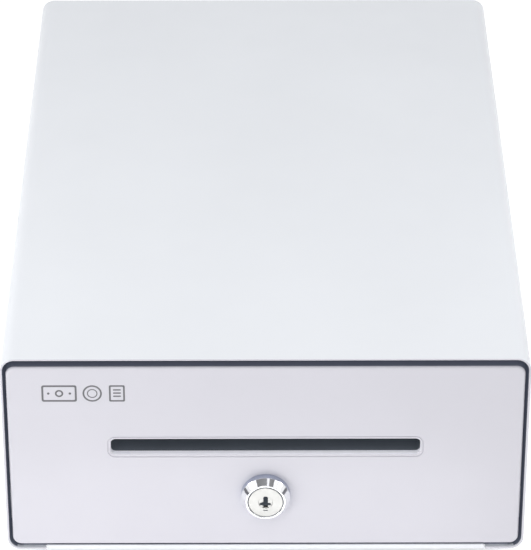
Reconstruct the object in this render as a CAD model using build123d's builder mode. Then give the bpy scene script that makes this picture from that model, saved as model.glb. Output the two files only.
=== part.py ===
"""A narrow cash drawer: a steel case, a sliding drawer on nylon rollers, a solenoid latch and a keyed lock.

The drawer's front faces -Y, +X is to the right seen from the front, and z = 0 is the counter under the feet.
y is measured from the front of the case with along(depth), which places the overall box about y = 0.
"""

from build123d import *
import math
import os

os.makedirs("parts", exist_ok=True)

# Driving dimensions of the case, millimetres
CASE_W = 240.0
CASE_D = 365.0
CASE_H = 104.6
SHEET = 1.0
COVER_BEND = 6.5
FLANGE_END_X = 102.3
FOOT_H = 6.0
FOOT_R = 8.0
FLOOR_GAP = 5.0
BASE_T = 1.2
LIP_DEPTH = 4.0

# Driving dimensions of the drawer
PANEL_W = 235.0
PANEL_BOTTOM = 3.1
PANEL_TOP = 100.3
PANEL_T = 1.2
PANEL_CORNER = 4.0
PANEL_BEND = 1.2
PANEL_RETURN = 11.0
TRAY_W = 212.0
TRAY_FRONT = 12.5
TRAY_BACK = 322.0
TRAY_FLOOR = 11.0
TRAY_WALL_TOP = 82.0
TRAVEL = 250.0

# Media slot, measured above the case bottom
SLOT_W = 141.7
SLOT_BOTTOM = 52.4
SLOT_TOP = 61.6
SLOT_CORNER = 2.2
SLOT_LIP = 3.6

# Lock, measured above the case bottom
LOCK_Z = 31.0
COLLAR_R = 11.4
COLLAR_FACE_R = 9.3
COLLAR_PROUD = 6.75
COLLAR_RIM = 3.5
PLUG_R = 8.1
PLUG_FIT = 0.08
BARREL_R = 9.0
BARREL_LENGTH = 19.0
KEYWAY_W = 2.2
KEYWAY_H = 6.4
KEYWAY_DEPTH = 9.0
CATCH_BACK = 18.6
CAM_TIP_Z = 8.2
CAM_W = 8.0

# Rails and rollers
RAIL_SHEET = 1.2
CHANNEL_Z = 31.0
CHANNEL_INNER_H = 18.6
CHANNEL_FRONT = 16.0
CHANNEL_BACK = 346.0
ROLLER_R = 8.0
ROLLER_T = 5.0
ROLLER_GAP = 0.3
AXLE_R = 2.5
AXLE_FIT = 0.06
FRONT_ROLLER_Y = 30.0
REAR_ROLLER_Y = 312.0
BUMP_H = 2.8

# Till
TILL_FRONT = 56.0
TILL_BACK = 319.0
TILL_W = 206.0
TILL_H = 56.0
TILL_WALL = 1.8
COIN_DEPTH = 84.0
COIN_CUPS = 5
BILL_BAYS = 3
CLIP_PIVOT_Z = 52.0
CLIP_ROD_R = 2.0
CLIP_LENGTH = 118.0

# Latch at the back
PIVOT_Y = 346.0
PIVOT_Z = 25.0
PIN_R = 1.5
LEVER_T = 3.0
TAIL_REACH = 10.0
PLUNGER_R = 3.0
STRIKER_Z = 25.0

# Places worked out from the driving dimensions
OVERALL_D = CASE_D + COLLAR_PROUD
CASE_BOTTOM = FLOOR_GAP
CASE_TOP = CASE_BOTTOM + CASE_H
BASE_Z = CASE_BOTTOM + SHEET
BASE_TOP = BASE_Z + BASE_T
INNER_X = CASE_W / 2 - SHEET
TRAY_X = TRAY_W / 2
LOCK_HEIGHT = CASE_BOTTOM + LOCK_Z
cam_y = (BARREL_LENGTH + 0.6, BARREL_LENGTH + 2.6)
cam_length = LOCK_HEIGHT - CAM_TIP_Z
cam_reach = math.hypot(cam_length, CAM_W / 2)
SLOT_MID = CASE_BOTTOM + (SLOT_BOTTOM + SLOT_TOP) / 2
SLOT_H = SLOT_TOP - SLOT_BOTTOM
PANEL_MID = CASE_BOTTOM + (PANEL_BOTTOM + PANEL_TOP) / 2
PANEL_H = PANEL_TOP - PANEL_BOTTOM
CHANNEL_FLOOR = CHANNEL_Z + RAIL_SHEET
CHANNEL_ROOF = CHANNEL_FLOOR + CHANNEL_INNER_H
CHANNEL_MOUTH_X = TRAY_X + RAIL_SHEET + 0.8
WEB_X = INNER_X - RAIL_SHEET
REAR_ROLLER_Z = CHANNEL_FLOOR + ROLLER_GAP + ROLLER_R
FRONT_ROLLER_Z = CHANNEL_FLOOR + ROLLER_GAP + 0.2 + ROLLER_R
RUNNER_Z = FRONT_ROLLER_Z + ROLLER_R + ROLLER_GAP
ROLLER_X = (CHANNEL_MOUTH_X + WEB_X) / 2


def along(depth):
    """y of a place this far behind the front of the case."""
    return depth + COLLAR_PROUD - OVERALL_D / 2


def side_name(side):
    """Left or right for the sign of x."""
    return "right" if side > 0 else "left"


def save(piece, name):
    """Labels one finished piece and writes it."""
    piece.part.label = name
    export_step(piece.part, f"parts/{name}.step")


def block(x_span, y_span, z_span, mode=Mode.ADD):
    """A box between pairs of x, depth and z limits, inside the current part."""
    size = (x_span[1] - x_span[0], y_span[1] - y_span[0], z_span[1] - z_span[0])
    centre = (sum(x_span) / 2, along(sum(y_span) / 2), sum(z_span) / 2)
    with Locations(centre):
        Box(*size, mode=mode)


def rod_x(radius, length, x, depth, z, mode=Mode.ADD):
    """A round rod along X centred at x, inside the current part."""
    with Locations((x, along(depth), z)):
        Cylinder(radius, length, rotation=(0, 90, 0), mode=mode)


def rod_y(radius, depth_span, x, z, mode=Mode.ADD):
    """A round rod along Y between two depths, inside the current part."""
    with Locations((x, along(sum(depth_span) / 2), z)):
        Cylinder(radius, depth_span[1] - depth_span[0], rotation=(90, 0, 0), mode=mode)


def rod_z(radius, x, depth, z_span, mode=Mode.ADD):
    """An upright round rod between two heights, inside the current part."""
    with Locations((x, along(depth), sum(z_span) / 2)):
        Cylinder(radius, z_span[1] - z_span[0], mode=mode)


def coil_along(radius, wire, turns, start, step):
    """The separate rings of a spring, each turn a torus, placed one step apart."""
    for turn in range(turns):
        place = [start[axis] + step[axis] * turn for axis in range(3)]
        with Locations(Plane(origin=place, z_dir=step)):
            Torus(radius, wire)


# ---------------------------------------------------------------- case

with BuildPart() as case_cover:
    # one wrap: top, two sides and two in-turned flanges, drawn as the line of its middle surface
    middle_x = CASE_W / 2 - SHEET / 2
    middle_top = CASE_TOP - SHEET / 2
    middle_bottom = CASE_BOTTOM + SHEET / 2
    with BuildSketch(Plane.XZ.offset(-along(0))):
        with BuildLine():
            FilletPolyline(
                (-FLANGE_END_X, middle_bottom),
                (-middle_x, middle_bottom),
                (-middle_x, middle_top),
                (middle_x, middle_top),
                (middle_x, middle_bottom),
                (FLANGE_END_X, middle_bottom),
                radius=COVER_BEND - SHEET / 2,
            )
            offset(amount=SHEET / 2, kind=Kind.TANGENT, side=Side.BOTH, closed=True)
        make_face()
    extrude(amount=-CASE_D)
save(case_cover, "case_cover")

foot_places = [(sx * 84.0, d) for sx in (-1, 1) for d in (30.0, 335.0)]
with BuildPart() as base_plate:
    block((-113.0, 113.0), (2.0, 362.0), (BASE_Z, BASE_TOP))
    block((-FLANGE_END_X + 0.5, FLANGE_END_X - 0.5), (0.2, LIP_DEPTH), (CASE_BOTTOM, BASE_TOP + 0.1))
    for x, depth in foot_places:
        rod_z(2.0, x, depth, (BASE_Z - 1, BASE_TOP + 1), Mode.SUBTRACT)
save(base_plate, "base_plate")

jack_x, jack_z = 62.0, 30.0
jack_w, jack_h, jack_d = 16.0, 14.0, 15.0
with BuildPart() as rear_panel:
    with BuildSketch(Plane.XZ.offset(-along(364.0))):
        with Locations((0, (BASE_TOP + CASE_TOP - SHEET) / 2)):
            RectangleRounded(235.0, CASE_TOP - SHEET - BASE_TOP - 0.6, COVER_BEND)
    extrude(amount=SHEET)
    for side in (-1, 1):
        edge = sorted((side * 117.5, side * 116.3))
        block(edge, (351.0, 363.0), (14.0, 100.0))
    block(
        (jack_x - jack_w / 2, jack_x + jack_w / 2),
        (362.0, 365.0),
        (jack_z - jack_h / 2, jack_z + jack_h / 2),
        Mode.SUBTRACT,
    )
save(rear_panel, "rear_panel")

with BuildPart() as modular_socket:
    block(
        (jack_x - jack_w / 2 + 0.1, jack_x + jack_w / 2 - 0.1),
        (364.5 - jack_d, 364.5),
        (jack_z - jack_h / 2 + 0.1, jack_z + jack_h / 2 - 0.1),
    )
    block((jack_x - 9.5, jack_x + 9.5), (361.0, 362.9), (jack_z - 8.5, jack_z + 8.5))
    block((jack_x - 4.9, jack_x + 4.9), (364.5 - 12, 366.0), (jack_z - 3.6, jack_z + 3.2), Mode.SUBTRACT)
    block((jack_x - 3.1, jack_x + 3.1), (364.5 - 12, 366.0), (jack_z - 5.2, jack_z - 3.5), Mode.SUBTRACT)
save(modular_socket, "modular_socket")

# the bump near the front of each channel floor stops the rear roller at the end of the travel
bump_reach = math.sqrt(ROLLER_R**2 - (REAR_ROLLER_Z - CHANNEL_FLOOR - BUMP_H) ** 2)
bump_back = REAR_ROLLER_Y - TRAVEL - bump_reach - 0.6
for side in (-1, 1):
    outer = sorted((side * WEB_X, side * INNER_X))
    lips = sorted((side * CHANNEL_MOUTH_X, side * INNER_X))
    with BuildPart() as rail:
        span = (CHANNEL_FRONT, CHANNEL_BACK)
        block(outer, span, (CHANNEL_Z, CHANNEL_ROOF + RAIL_SHEET))
        block(lips, span, (CHANNEL_Z, CHANNEL_FLOOR))
        block(lips, span, (CHANNEL_ROOF, CHANNEL_ROOF + RAIL_SHEET))
        block(lips, (bump_back - 2.0, bump_back), (CHANNEL_FLOOR - 0.1, CHANNEL_FLOOR + BUMP_H))
        rod_x(AXLE_R - 0.5, 4.0, side * (WEB_X + 0.5), FRONT_ROLLER_Y, FRONT_ROLLER_Z, Mode.SUBTRACT)
        # legs that carry the channel on the base plate
        for depth in (24.0, 180.0, 330.0):
            block(outer, (depth - 10, depth + 10), (BASE_TOP + 6.0, CHANNEL_Z + 0.1))
    save(rail, f"case_rail_{side_name(side)}")

    with BuildPart() as axle:
        rod_x(AXLE_R, ROLLER_T + 0.8, side * ROLLER_X, FRONT_ROLLER_Y, FRONT_ROLLER_Z)
        rod_x(
            AXLE_R - 0.55,
            WEB_X + RAIL_SHEET - ROLLER_X,
            side * (WEB_X + RAIL_SHEET + ROLLER_X) / 2,
            FRONT_ROLLER_Y,
            FRONT_ROLLER_Z,
        )
        rod_x(AXLE_R + 1.3, 0.8, side * (ROLLER_X - ROLLER_T / 2 - 0.8), FRONT_ROLLER_Y, FRONT_ROLLER_Z)
    save(axle, f"front_axle_{side_name(side)}")

    with BuildPart() as roller:
        rod_x(ROLLER_R, ROLLER_T, side * ROLLER_X, FRONT_ROLLER_Y, FRONT_ROLLER_Z)
        rod_x(AXLE_R + AXLE_FIT, ROLLER_T + 2, side * ROLLER_X, FRONT_ROLLER_Y, FRONT_ROLLER_Z, Mode.SUBTRACT)
        chamfer(roller.edges().filter_by(GeomType.CIRCLE).group_by(SortBy.RADIUS)[-1], 0.6)
    save(roller, f"front_roller_{side_name(side)}")

with BuildPart() as feet:
    for x, depth in foot_places:
        with BuildSketch(Plane.XY):
            with Locations((x, along(depth))):
                Circle(FOOT_R)
        extrude(amount=FOOT_H, taper=3)
        rod_z(5.0, x, depth, (-1.0, 2.4), Mode.SUBTRACT)
        rod_z(2.0, x, depth, (0.0, FOOT_H + 1), Mode.SUBTRACT)
save(feet, "rubber_feet")

with BuildPart() as foot_screws:
    for x, depth in foot_places:
        rod_z(3.6, x, depth, (1.0, 2.3))
        rod_z(1.9, x, depth, (2.2, BASE_TOP + 2.6))
save(foot_screws, "foot_screws")

rear_screw_places = [(sx * 108.0, z) for sx in (-1, 1) for z in (22.0, 92.0)]
with BuildPart() as rear_screws:
    for x, z in rear_screw_places:
        rod_y(2.8, (364.0, 365.0), x, z)
save(rear_screws, "rear_screws")

with BuildPart() as lock_catch:
    # an upright strap behind the front lip that the turned cam drops behind
    block((-12.0, 12.0), (12.0, CATCH_BACK), (BASE_TOP, BASE_TOP + 1.2))
    block((-12.0, 12.0), (CATCH_BACK - 1.2, CATCH_BACK), (BASE_TOP, TRAY_FLOOR - 0.4))
save(lock_catch, "lock_catch")

# ---------------------------------------------------------------- latch

CHEEK_X = (4.0, 5.2)
cheek_top = 33.0
with BuildPart() as latch_bracket:
    block((-16.0, 16.0), (323.5, 362.0), (BASE_TOP, BASE_TOP + 1.2))
    for side in (-1, 1):
        cheek = sorted((side * CHEEK_X[0], side * CHEEK_X[1]))
        block(cheek, (341.5, 362.0), (BASE_TOP + 1.1, cheek_top))
        shelf = sorted((side * CHEEK_X[0], side * 11.0))
        block(shelf, (347.5, 362.0), (cheek_top - 1.2, cheek_top))
    rod_x(PIN_R, 14.0, 0, PIVOT_Y, PIVOT_Z, Mode.SUBTRACT)
save(latch_bracket, "latch_bracket")

with BuildPart() as latch_pin:
    rod_x(PIN_R, 11.4, 0, PIVOT_Y, PIVOT_Z)
    for side in (-1, 1):
        rod_x(PIN_R + 1.0, 1.0, side * 5.9, PIVOT_Y, PIVOT_Z)
save(latch_pin, "latch_pin")

tooth_y = (331.0, 334.0)
with BuildPart() as latch_lever:
    # hub, forward hook arm with an upright tooth, and a tail for the plunger
    with BuildSketch(Plane.YZ.offset(-LEVER_T / 2)):
        with Locations((along(PIVOT_Y), PIVOT_Z)):
            Circle(3.6)
        with BuildLine():
            Polyline(
                (along(tooth_y[0]), 17.7),
                (along(PIVOT_Y), 18.6),
                (along(PIVOT_Y + 3.0), 23.0),
                (along(PIVOT_Y + 1.0), 26.0),
                (along(PIVOT_Y - 2.8), 24.2),
                (along(PIVOT_Y - 4.5), 21.4),
                (along(tooth_y[1]), 20.6),
                (along(tooth_y[1]), 23.6),
                (along(tooth_y[0] + 1.2), 24.5),
                (along(tooth_y[0]), 24.5),
                close=True,
            )
        make_face()
        with BuildLine():
            Polyline(
                (along(PIVOT_Y), PIVOT_Z - 3.0),
                (along(PIVOT_Y + TAIL_REACH + 2.8), PIVOT_Z - 2.4),
                (along(PIVOT_Y + TAIL_REACH + 2.8), PIVOT_Z + 2.4),
                (along(PIVOT_Y), PIVOT_Z + 3.0),
                close=True,
            )
        make_face()
        with Locations((along(PIVOT_Y), PIVOT_Z)):
            Circle(PIN_R + AXLE_FIT, mode=Mode.SUBTRACT)
        with Locations((along(PIVOT_Y + TAIL_REACH - 0.2), PIVOT_Z)):
            SlotCenterToCenter(1.4, 2.6, mode=Mode.SUBTRACT)
    extrude(amount=LEVER_T)
save(latch_lever, "latch_lever")

plunger_y = PIVOT_Y + TAIL_REACH
frame_z = (cheek_top, cheek_top + 26.0)
with BuildPart() as plunger:
    rod_z(PLUNGER_R, 0, plunger_y, (PIVOT_Z - 3.0, frame_z[1] - 5.0))
    block((-1.9, 1.9), (plunger_y - 4, plunger_y + 4), (PIVOT_Z - 4.0, PIVOT_Z + 4.2), Mode.SUBTRACT)
    rod_x(1.0, 5.6, 0, plunger_y, PIVOT_Z)
save(plunger, "solenoid_plunger")

with BuildPart() as solenoid_frame:
    block((-11.0, 11.0), (348.5, 362.5), frame_z)
    block((-9.8, 9.8), (347.0, 364.0), (frame_z[0] + 1.4, frame_z[1] - 1.4), Mode.SUBTRACT)
    rod_z(PLUNGER_R + 0.1, 0, plunger_y, (frame_z[0] - 1, frame_z[0] + 3), Mode.SUBTRACT)
save(solenoid_frame, "solenoid_frame")

with BuildPart() as solenoid_coil:
    rod_z(6.4, 0, plunger_y - 0.3, (frame_z[0] + 2.6, frame_z[1] - 2.6))
    for z in (frame_z[0] + 1.5, frame_z[1] - 2.7):
        block((-8.0, 8.0), (349.0, 362.2), (z, z + 1.2))
    rod_z(PLUNGER_R + 0.1, 0, plunger_y, (frame_z[0], frame_z[1] - 4.0), Mode.SUBTRACT)
save(solenoid_coil, "solenoid_coil")

with BuildPart() as microswitch:
    block((-3.2, 3.2), (324.0, 343.5), (BASE_TOP + 1.3, 15.6))
    block((-3.2, 3.2), (340.8, 343.2), (15.5, 16.2))
    for depth in (329.0, 338.5):
        rod_x(1.1, 8.0, 0, depth, 11.5, Mode.SUBTRACT)
save(microswitch, "microswitch")

BLADE_Y, BLADE_Z = 341.9, 17.0
with BuildPart() as switch_blade:
    block((-2.0, 2.0), (327.0, BLADE_Y + 0.4), (BLADE_Z - 0.2, BLADE_Z + 0.2))
    rod_x(0.7, 4.0, 0, BLADE_Y, BLADE_Z)
save(switch_blade, "switch_blade")

with BuildPart() as latch_spring:
    # close-wound tension spring beside the bracket, from a peg on the base to the lever's height
    coil_along(1.9, 0.35, 14, (9.4, along(346.0), 10.6), (0, 0, 0.9))
save(latch_spring, "latch_spring")

ejector_x, ejector_z = -46.0, 30.0
with BuildPart() as ejector_rod:
    rod_y(2.0, (334.0, 362.9), ejector_x, ejector_z)
    rod_y(6.4, (361.2, 362.9), ejector_x, ejector_z)
save(ejector_rod, "ejector_rod")

with BuildPart() as ejector_spring:
    coil_along(4.4, 0.6, 10, (ejector_x, along(325.0), ejector_z), (0, 3.8, 0))
save(ejector_spring, "ejector_spring")

# ---------------------------------------------------------------- drawer shell

panel_plane = Plane.XZ.offset(-along(0))
with BuildPart() as front_panel:
    # a shallow pan: the face with bent-back returns, opened by the lipped media slot and the lock hole
    with BuildSketch(panel_plane):
        with Locations((0, PANEL_MID)):
            RectangleRounded(PANEL_W, PANEL_H, PANEL_CORNER)
    extrude(amount=-PANEL_RETURN)
    fillet(front_panel.faces().sort_by(Axis.Y)[0].edges(), PANEL_BEND)
    with BuildSketch(Plane.XZ.offset(-along(PANEL_T))):
        with Locations((0, PANEL_MID)):
            RectangleRounded(PANEL_W - 2 * PANEL_T, PANEL_H - 2 * PANEL_T, PANEL_CORNER - PANEL_T)
    extrude(amount=-PANEL_RETURN, mode=Mode.SUBTRACT)
    with BuildSketch(panel_plane):
        with Locations((0, SLOT_MID)):
            RectangleRounded(SLOT_W + 2 * PANEL_T, SLOT_H + 2 * PANEL_T, SLOT_CORNER + PANEL_T)
    extrude(amount=-SLOT_LIP)
    with BuildSketch(panel_plane.offset(1)):
        with Locations((0, SLOT_MID)):
            RectangleRounded(SLOT_W, SLOT_H, SLOT_CORNER)
    extrude(amount=-SLOT_LIP - 2, mode=Mode.SUBTRACT)
    rod_y(BARREL_R + 0.1, (-1.0, PANEL_T + 1), 0, LOCK_HEIGHT, Mode.SUBTRACT)
save(front_panel, "front_panel")

liner_wall = 1.2
with BuildPart() as slot_liner:
    # black moulded throat that leads the slot through the tray's front wall
    with BuildSketch(Plane.XZ.offset(-along(SLOT_LIP + 0.2))):
        with Locations((0, SLOT_MID)):
            RectangleRounded(SLOT_W + 2 * liner_wall + 1, SLOT_H + 2 * liner_wall + 1, SLOT_CORNER + 1.5)
            RectangleRounded(SLOT_W + 1, SLOT_H + 1, SLOT_CORNER, mode=Mode.SUBTRACT)
    extrude(amount=-(TRAY_FRONT + 3.0 - SLOT_LIP))
save(slot_liner, "slot_liner")

panel_screw_places = [(sx * x, z) for sx in (-1, 1) for x, z in ((96.0, 24.0), (96.0, 74.0))]
with BuildPart() as drawer_floor:
    # floor slot as long as the chord that the turning cam cuts
    block((-TRAY_X, TRAY_X), (TRAY_FRONT, TRAY_BACK), (TRAY_FLOOR, TRAY_FLOOR + SHEET))
    chord = math.sqrt(cam_reach**2 - (LOCK_HEIGHT - TRAY_FLOOR - SHEET) ** 2) + 1.0
    slot_depths = (cam_y[0] - 0.8, cam_y[1] + 0.8)
    block((-CAM_W / 2 - 1, chord), slot_depths, (TRAY_FLOOR - 1, TRAY_FLOOR + 2), Mode.SUBTRACT)
save(drawer_floor, "drawer_floor")

wall_z = (TRAY_FLOOR + SHEET, TRAY_WALL_TOP)
for side in (-1, 1):
    with BuildPart() as wall:
        # side wall with its top edge hemmed outwards
        outer = sorted((side * (TRAY_X - SHEET), side * TRAY_X))
        hem = sorted((side * TRAY_X, side * (TRAY_X + SHEET)))
        block(outer, (TRAY_FRONT, TRAY_BACK), wall_z)
        block(hem, (TRAY_FRONT + 4, TRAY_BACK - 4), (TRAY_WALL_TOP - 8.0, TRAY_WALL_TOP))
    save(wall, f"drawer_side_{side_name(side)}")

with BuildPart() as drawer_front_wall:
    # inner front wall, cut for the slot liner and the lock barrel
    block((-TRAY_X + SHEET, TRAY_X - SHEET), (TRAY_FRONT, TRAY_FRONT + SHEET), wall_z)
    with BuildSketch(Plane.XZ.offset(-along(TRAY_FRONT - 1))):
        with Locations((0, SLOT_MID)):
            RectangleRounded(SLOT_W + 2 * liner_wall + 1.4, SLOT_H + 2 * liner_wall + 1.4, SLOT_CORNER + 1.7)
    extrude(amount=-SHEET - 2, mode=Mode.SUBTRACT)
    rod_y(BARREL_R + 0.1, (TRAY_FRONT - 1, TRAY_FRONT + 2), 0, LOCK_HEIGHT, Mode.SUBTRACT)
save(drawer_front_wall, "drawer_front_wall")

with BuildPart() as drawer_back_wall:
    block((-TRAY_X + SHEET, TRAY_X - SHEET), (TRAY_BACK - SHEET, TRAY_BACK), wall_z)
save(drawer_back_wall, "drawer_back_wall")

with BuildPart() as panel_mounts:
    # four stand-offs that tie the front panel to the tray's front wall
    for x, z in panel_screw_places:
        block((x - 5, x + 5), (PANEL_T, TRAY_FRONT), (z - 5, z + 5))
save(panel_mounts, "panel_mounts")

with BuildPart() as panel_screws:
    for x, z in panel_screw_places:
        rod_y(3.2, (TRAY_FRONT + SHEET, TRAY_FRONT + SHEET + 2.0), x, z)
save(panel_screws, "panel_screws")

for side in (-1, 1):
    with BuildPart() as runner:
        web = sorted((side * TRAY_X, side * (TRAY_X + RAIL_SHEET)))
        lip = sorted((side * TRAY_X, side * (WEB_X - 1.2)))
        span = (TRAY_FRONT + 2, TRAY_BACK - 2)
        block(web, span, (REAR_ROLLER_Z - 7.0, RUNNER_Z + RAIL_SHEET))
        block(lip, span, (RUNNER_Z, RUNNER_Z + RAIL_SHEET))
        rod_x(AXLE_R - 0.5, 4.0, side * (TRAY_X + RAIL_SHEET), REAR_ROLLER_Y, REAR_ROLLER_Z, Mode.SUBTRACT)
    save(runner, f"drawer_rail_{side_name(side)}")

    with BuildPart() as axle:
        rod_x(AXLE_R, ROLLER_T + 0.8, side * ROLLER_X, REAR_ROLLER_Y, REAR_ROLLER_Z)
        rod_x(
            AXLE_R - 0.55,
            ROLLER_X - TRAY_X,
            side * (TRAY_X + ROLLER_X) / 2,
            REAR_ROLLER_Y,
            REAR_ROLLER_Z,
        )
        rod_x(AXLE_R + 1.3, 0.8, side * (ROLLER_X + ROLLER_T / 2 + 0.8), REAR_ROLLER_Y, REAR_ROLLER_Z)
    save(axle, f"rear_axle_{side_name(side)}")

    with BuildPart() as roller:
        rod_x(ROLLER_R, ROLLER_T, side * ROLLER_X, REAR_ROLLER_Y, REAR_ROLLER_Z)
        rod_x(AXLE_R + AXLE_FIT, ROLLER_T + 2, side * ROLLER_X, REAR_ROLLER_Y, REAR_ROLLER_Z, Mode.SUBTRACT)
        chamfer(roller.edges().filter_by(GeomType.CIRCLE).group_by(SortBy.RADIUS)[-1], 0.6)
    save(roller, f"rear_roller_{side_name(side)}")

with BuildPart() as striker:
    # angle on the tray's back wall with a window for the latch tooth
    block((-9.0, 9.0), (TRAY_BACK, TRAY_BACK + 1.4), (STRIKER_Z, STRIKER_Z + 12.0))
    block((-9.0, 9.0), (TRAY_BACK, 339.0), (STRIKER_Z, STRIKER_Z + 1.4))
    block((-3.0, 3.0), (329.5, 336.0), (STRIKER_Z - 1, STRIKER_Z + 3), Mode.SUBTRACT)
save(striker, "striker")

# ---------------------------------------------------------------- till

till_floor = TRAY_FLOOR + SHEET
bay_front = TILL_FRONT + COIN_DEPTH + 2 * TILL_WALL
half_till = TILL_W / 2
with BuildPart() as till_body:
    # moulded tray: a coin well in front and bill bays behind
    block((-half_till, half_till), (TILL_FRONT, TILL_BACK), (till_floor, till_floor + TILL_H))
    block(
        (-half_till + TILL_WALL, half_till - TILL_WALL),
        (TILL_FRONT + TILL_WALL, bay_front - TILL_WALL),
        (till_floor + TILL_WALL, till_floor + TILL_H + 1),
        Mode.SUBTRACT,
    )
    block(
        (-half_till + TILL_WALL, half_till - TILL_WALL),
        (bay_front, TILL_BACK - TILL_WALL),
        (till_floor + TILL_WALL, till_floor + TILL_H + 1),
        Mode.SUBTRACT,
    )
save(till_body, "till_body")

bay_pitch = (TILL_W - TILL_WALL) / BILL_BAYS
for index in range(1, BILL_BAYS):
    with BuildPart() as divider:
        x = -half_till + TILL_WALL / 2 + index * bay_pitch
        block(
            (x - TILL_WALL / 2, x + TILL_WALL / 2),
            (bay_front, TILL_BACK - TILL_WALL),
            (till_floor + TILL_WALL, till_floor + TILL_H),
        )
        # the rod passes through
        rod_x(CLIP_ROD_R + 0.05, TILL_WALL + 2, x, TILL_BACK - 10, till_floor + CLIP_PIVOT_Z - 6, Mode.SUBTRACT)
    save(divider, f"bill_divider_{index}")

cup_pitch = (TILL_W - 2 * TILL_WALL) / COIN_CUPS
cup_w = cup_pitch - 0.6
cup_front = TILL_FRONT + TILL_WALL + 0.4
cup_back = bay_front - TILL_WALL - 0.4
cup_top = till_floor + TILL_H - 1.0
for index in range(COIN_CUPS):
    with BuildPart() as cup:
        x = -half_till + TILL_WALL + (index + 0.5) * cup_pitch
        bottom = till_floor + TILL_WALL
        block((x - cup_w / 2, x + cup_w / 2), (cup_front, cup_back), (bottom, cup_top))
        # scooped inside: a deep trough whose front curves up for sliding coins out
        with BuildSketch(Plane.YZ.offset(x - cup_w / 2 + 1.4)):
            with BuildLine():
                scoop = 26.0
                Polyline(
                    (along(cup_front + 1.4), bottom + 1.6 + scoop),
                    (along(cup_front + 1.4), cup_top + 1),
                    (along(cup_back - 1.4), cup_top + 1),
                    (along(cup_back - 1.4), bottom + 1.6),
                    (along(cup_front + 1.4 + scoop), bottom + 1.6),
                )
                RadiusArc(
                    (along(cup_front + 1.4 + scoop), bottom + 1.6),
                    (along(cup_front + 1.4), bottom + 1.6 + scoop),
                    scoop,
                )
            make_face()
        extrude(amount=cup_w - 2.8, mode=Mode.SUBTRACT)
    save(cup, f"coin_cup_{index + 1}")

rod_depth = TILL_BACK - 10
rod_height = till_floor + CLIP_PIVOT_Z - 6
with BuildPart() as clip_rod:
    rod_x(CLIP_ROD_R, TILL_W - 2 * TILL_WALL - 0.4, 0, rod_depth, rod_height)
save(clip_rod, "clip_rod")

bill_floor = till_floor + TILL_WALL
for index in range(BILL_BAYS):
    with BuildPart() as clip:
        x = -half_till + TILL_WALL / 2 + (index + 0.5) * bay_pitch
        # an arm from a hub on the rod down to a wide foot on the notes
        tip_y = rod_depth - CLIP_LENGTH
        with BuildSketch(Plane.YZ.offset(x - 5.0)):
            with Locations((along(rod_depth), rod_height)):
                Circle(5.0)
            with BuildLine():
                Polyline(
                    (along(rod_depth), rod_height + 5.0),
                    (along(rod_depth - 60), rod_height + 1.0),
                    (along(tip_y + 10), bill_floor + 6.0),
                    (along(tip_y + 6), bill_floor + 1.0),
                    (along(tip_y + 12), bill_floor + 1.0),
                    (along(rod_depth - 58), rod_height - 4.0),
                    (along(rod_depth), rod_height - 4.0),
                    close=True,
                )
            make_face()
            with Locations((along(rod_depth), rod_height)):
                Circle(CLIP_ROD_R + AXLE_FIT, mode=Mode.SUBTRACT)
        extrude(amount=10.0)
        rod_x(3.6, 34.0, x, tip_y + 9, bill_floor + 4.0)
    save(clip, f"bill_clip_{index + 1}")

with BuildPart() as clip_springs:
    # close-wound torsion springs on the rod beside each clip's hub
    for index in range(BILL_BAYS):
        x = -half_till + TILL_WALL / 2 + (index + 0.5) * bay_pitch
        coil_along(3.0, 0.5, 8, (x + 6.6, along(rod_depth), rod_height), (1.15, 0, 0))
save(clip_springs, "clip_springs")

# ---------------------------------------------------------------- lock

with BuildPart() as lock_collar:
    # turned collar: a straight rim, a cone, a rounded face, and the threaded barrel behind the panel
    with BuildSketch(Plane.XY):
        with BuildLine():
            Polyline(
                (PLUG_R + PLUG_FIT, -COLLAR_PROUD),
                (COLLAR_FACE_R - 0.3, -COLLAR_PROUD),
                (COLLAR_FACE_R, -COLLAR_PROUD + 0.3),
                (COLLAR_R, -COLLAR_RIM),
                (COLLAR_R, 0.0),
                (BARREL_R, 0.0),
                (BARREL_R, BARREL_LENGTH),
                (PLUG_R + PLUG_FIT, BARREL_LENGTH),
                close=True,
            )
        make_face()
    revolve(axis=Axis.Y)
collar_place = Pos(0, along(0), LOCK_HEIGHT)
lock_collar.part = collar_place * lock_collar.part
save(lock_collar, "lock_collar")

with BuildPart() as lock_plug:
    rod_y(PLUG_R, (-COLLAR_PROUD + 0.15, BARREL_LENGTH + 0.6), 0, LOCK_HEIGHT)
    block(
        (-KEYWAY_W / 2, KEYWAY_W / 2),
        (-COLLAR_PROUD - 1, KEYWAY_DEPTH),
        (LOCK_HEIGHT - KEYWAY_H / 2, LOCK_HEIGHT + KEYWAY_H / 2),
        Mode.SUBTRACT,
    )
save(lock_plug, "lock_plug")

with BuildPart() as lock_nut:
    with BuildSketch(Plane.XZ.offset(-along(PANEL_T))):
        with Locations((0, LOCK_HEIGHT)):
            RegularPolygon(radius=12.0, side_count=6, major_radius=False)
            Circle(BARREL_R, mode=Mode.SUBTRACT)
    extrude(amount=-4.0)
save(lock_nut, "lock_nut")

with BuildPart() as lock_cam:
    # rest: the tongue lies to the right; a quarter turn clockwise points it down through the tray floor
    with BuildSketch(Plane.XZ.offset(-along(cam_y[1]))):
        with Locations((0, LOCK_HEIGHT)):
            Circle(6.5)
        with Locations((cam_length / 2, LOCK_HEIGHT)):
            Rectangle(cam_length, CAM_W)
    extrude(amount=cam_y[1] - cam_y[0])
    fillet(lock_cam.edges().filter_by(Axis.Y).group_by(Axis.X)[-1], 2.0)
save(lock_cam, "lock_cam")

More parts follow.
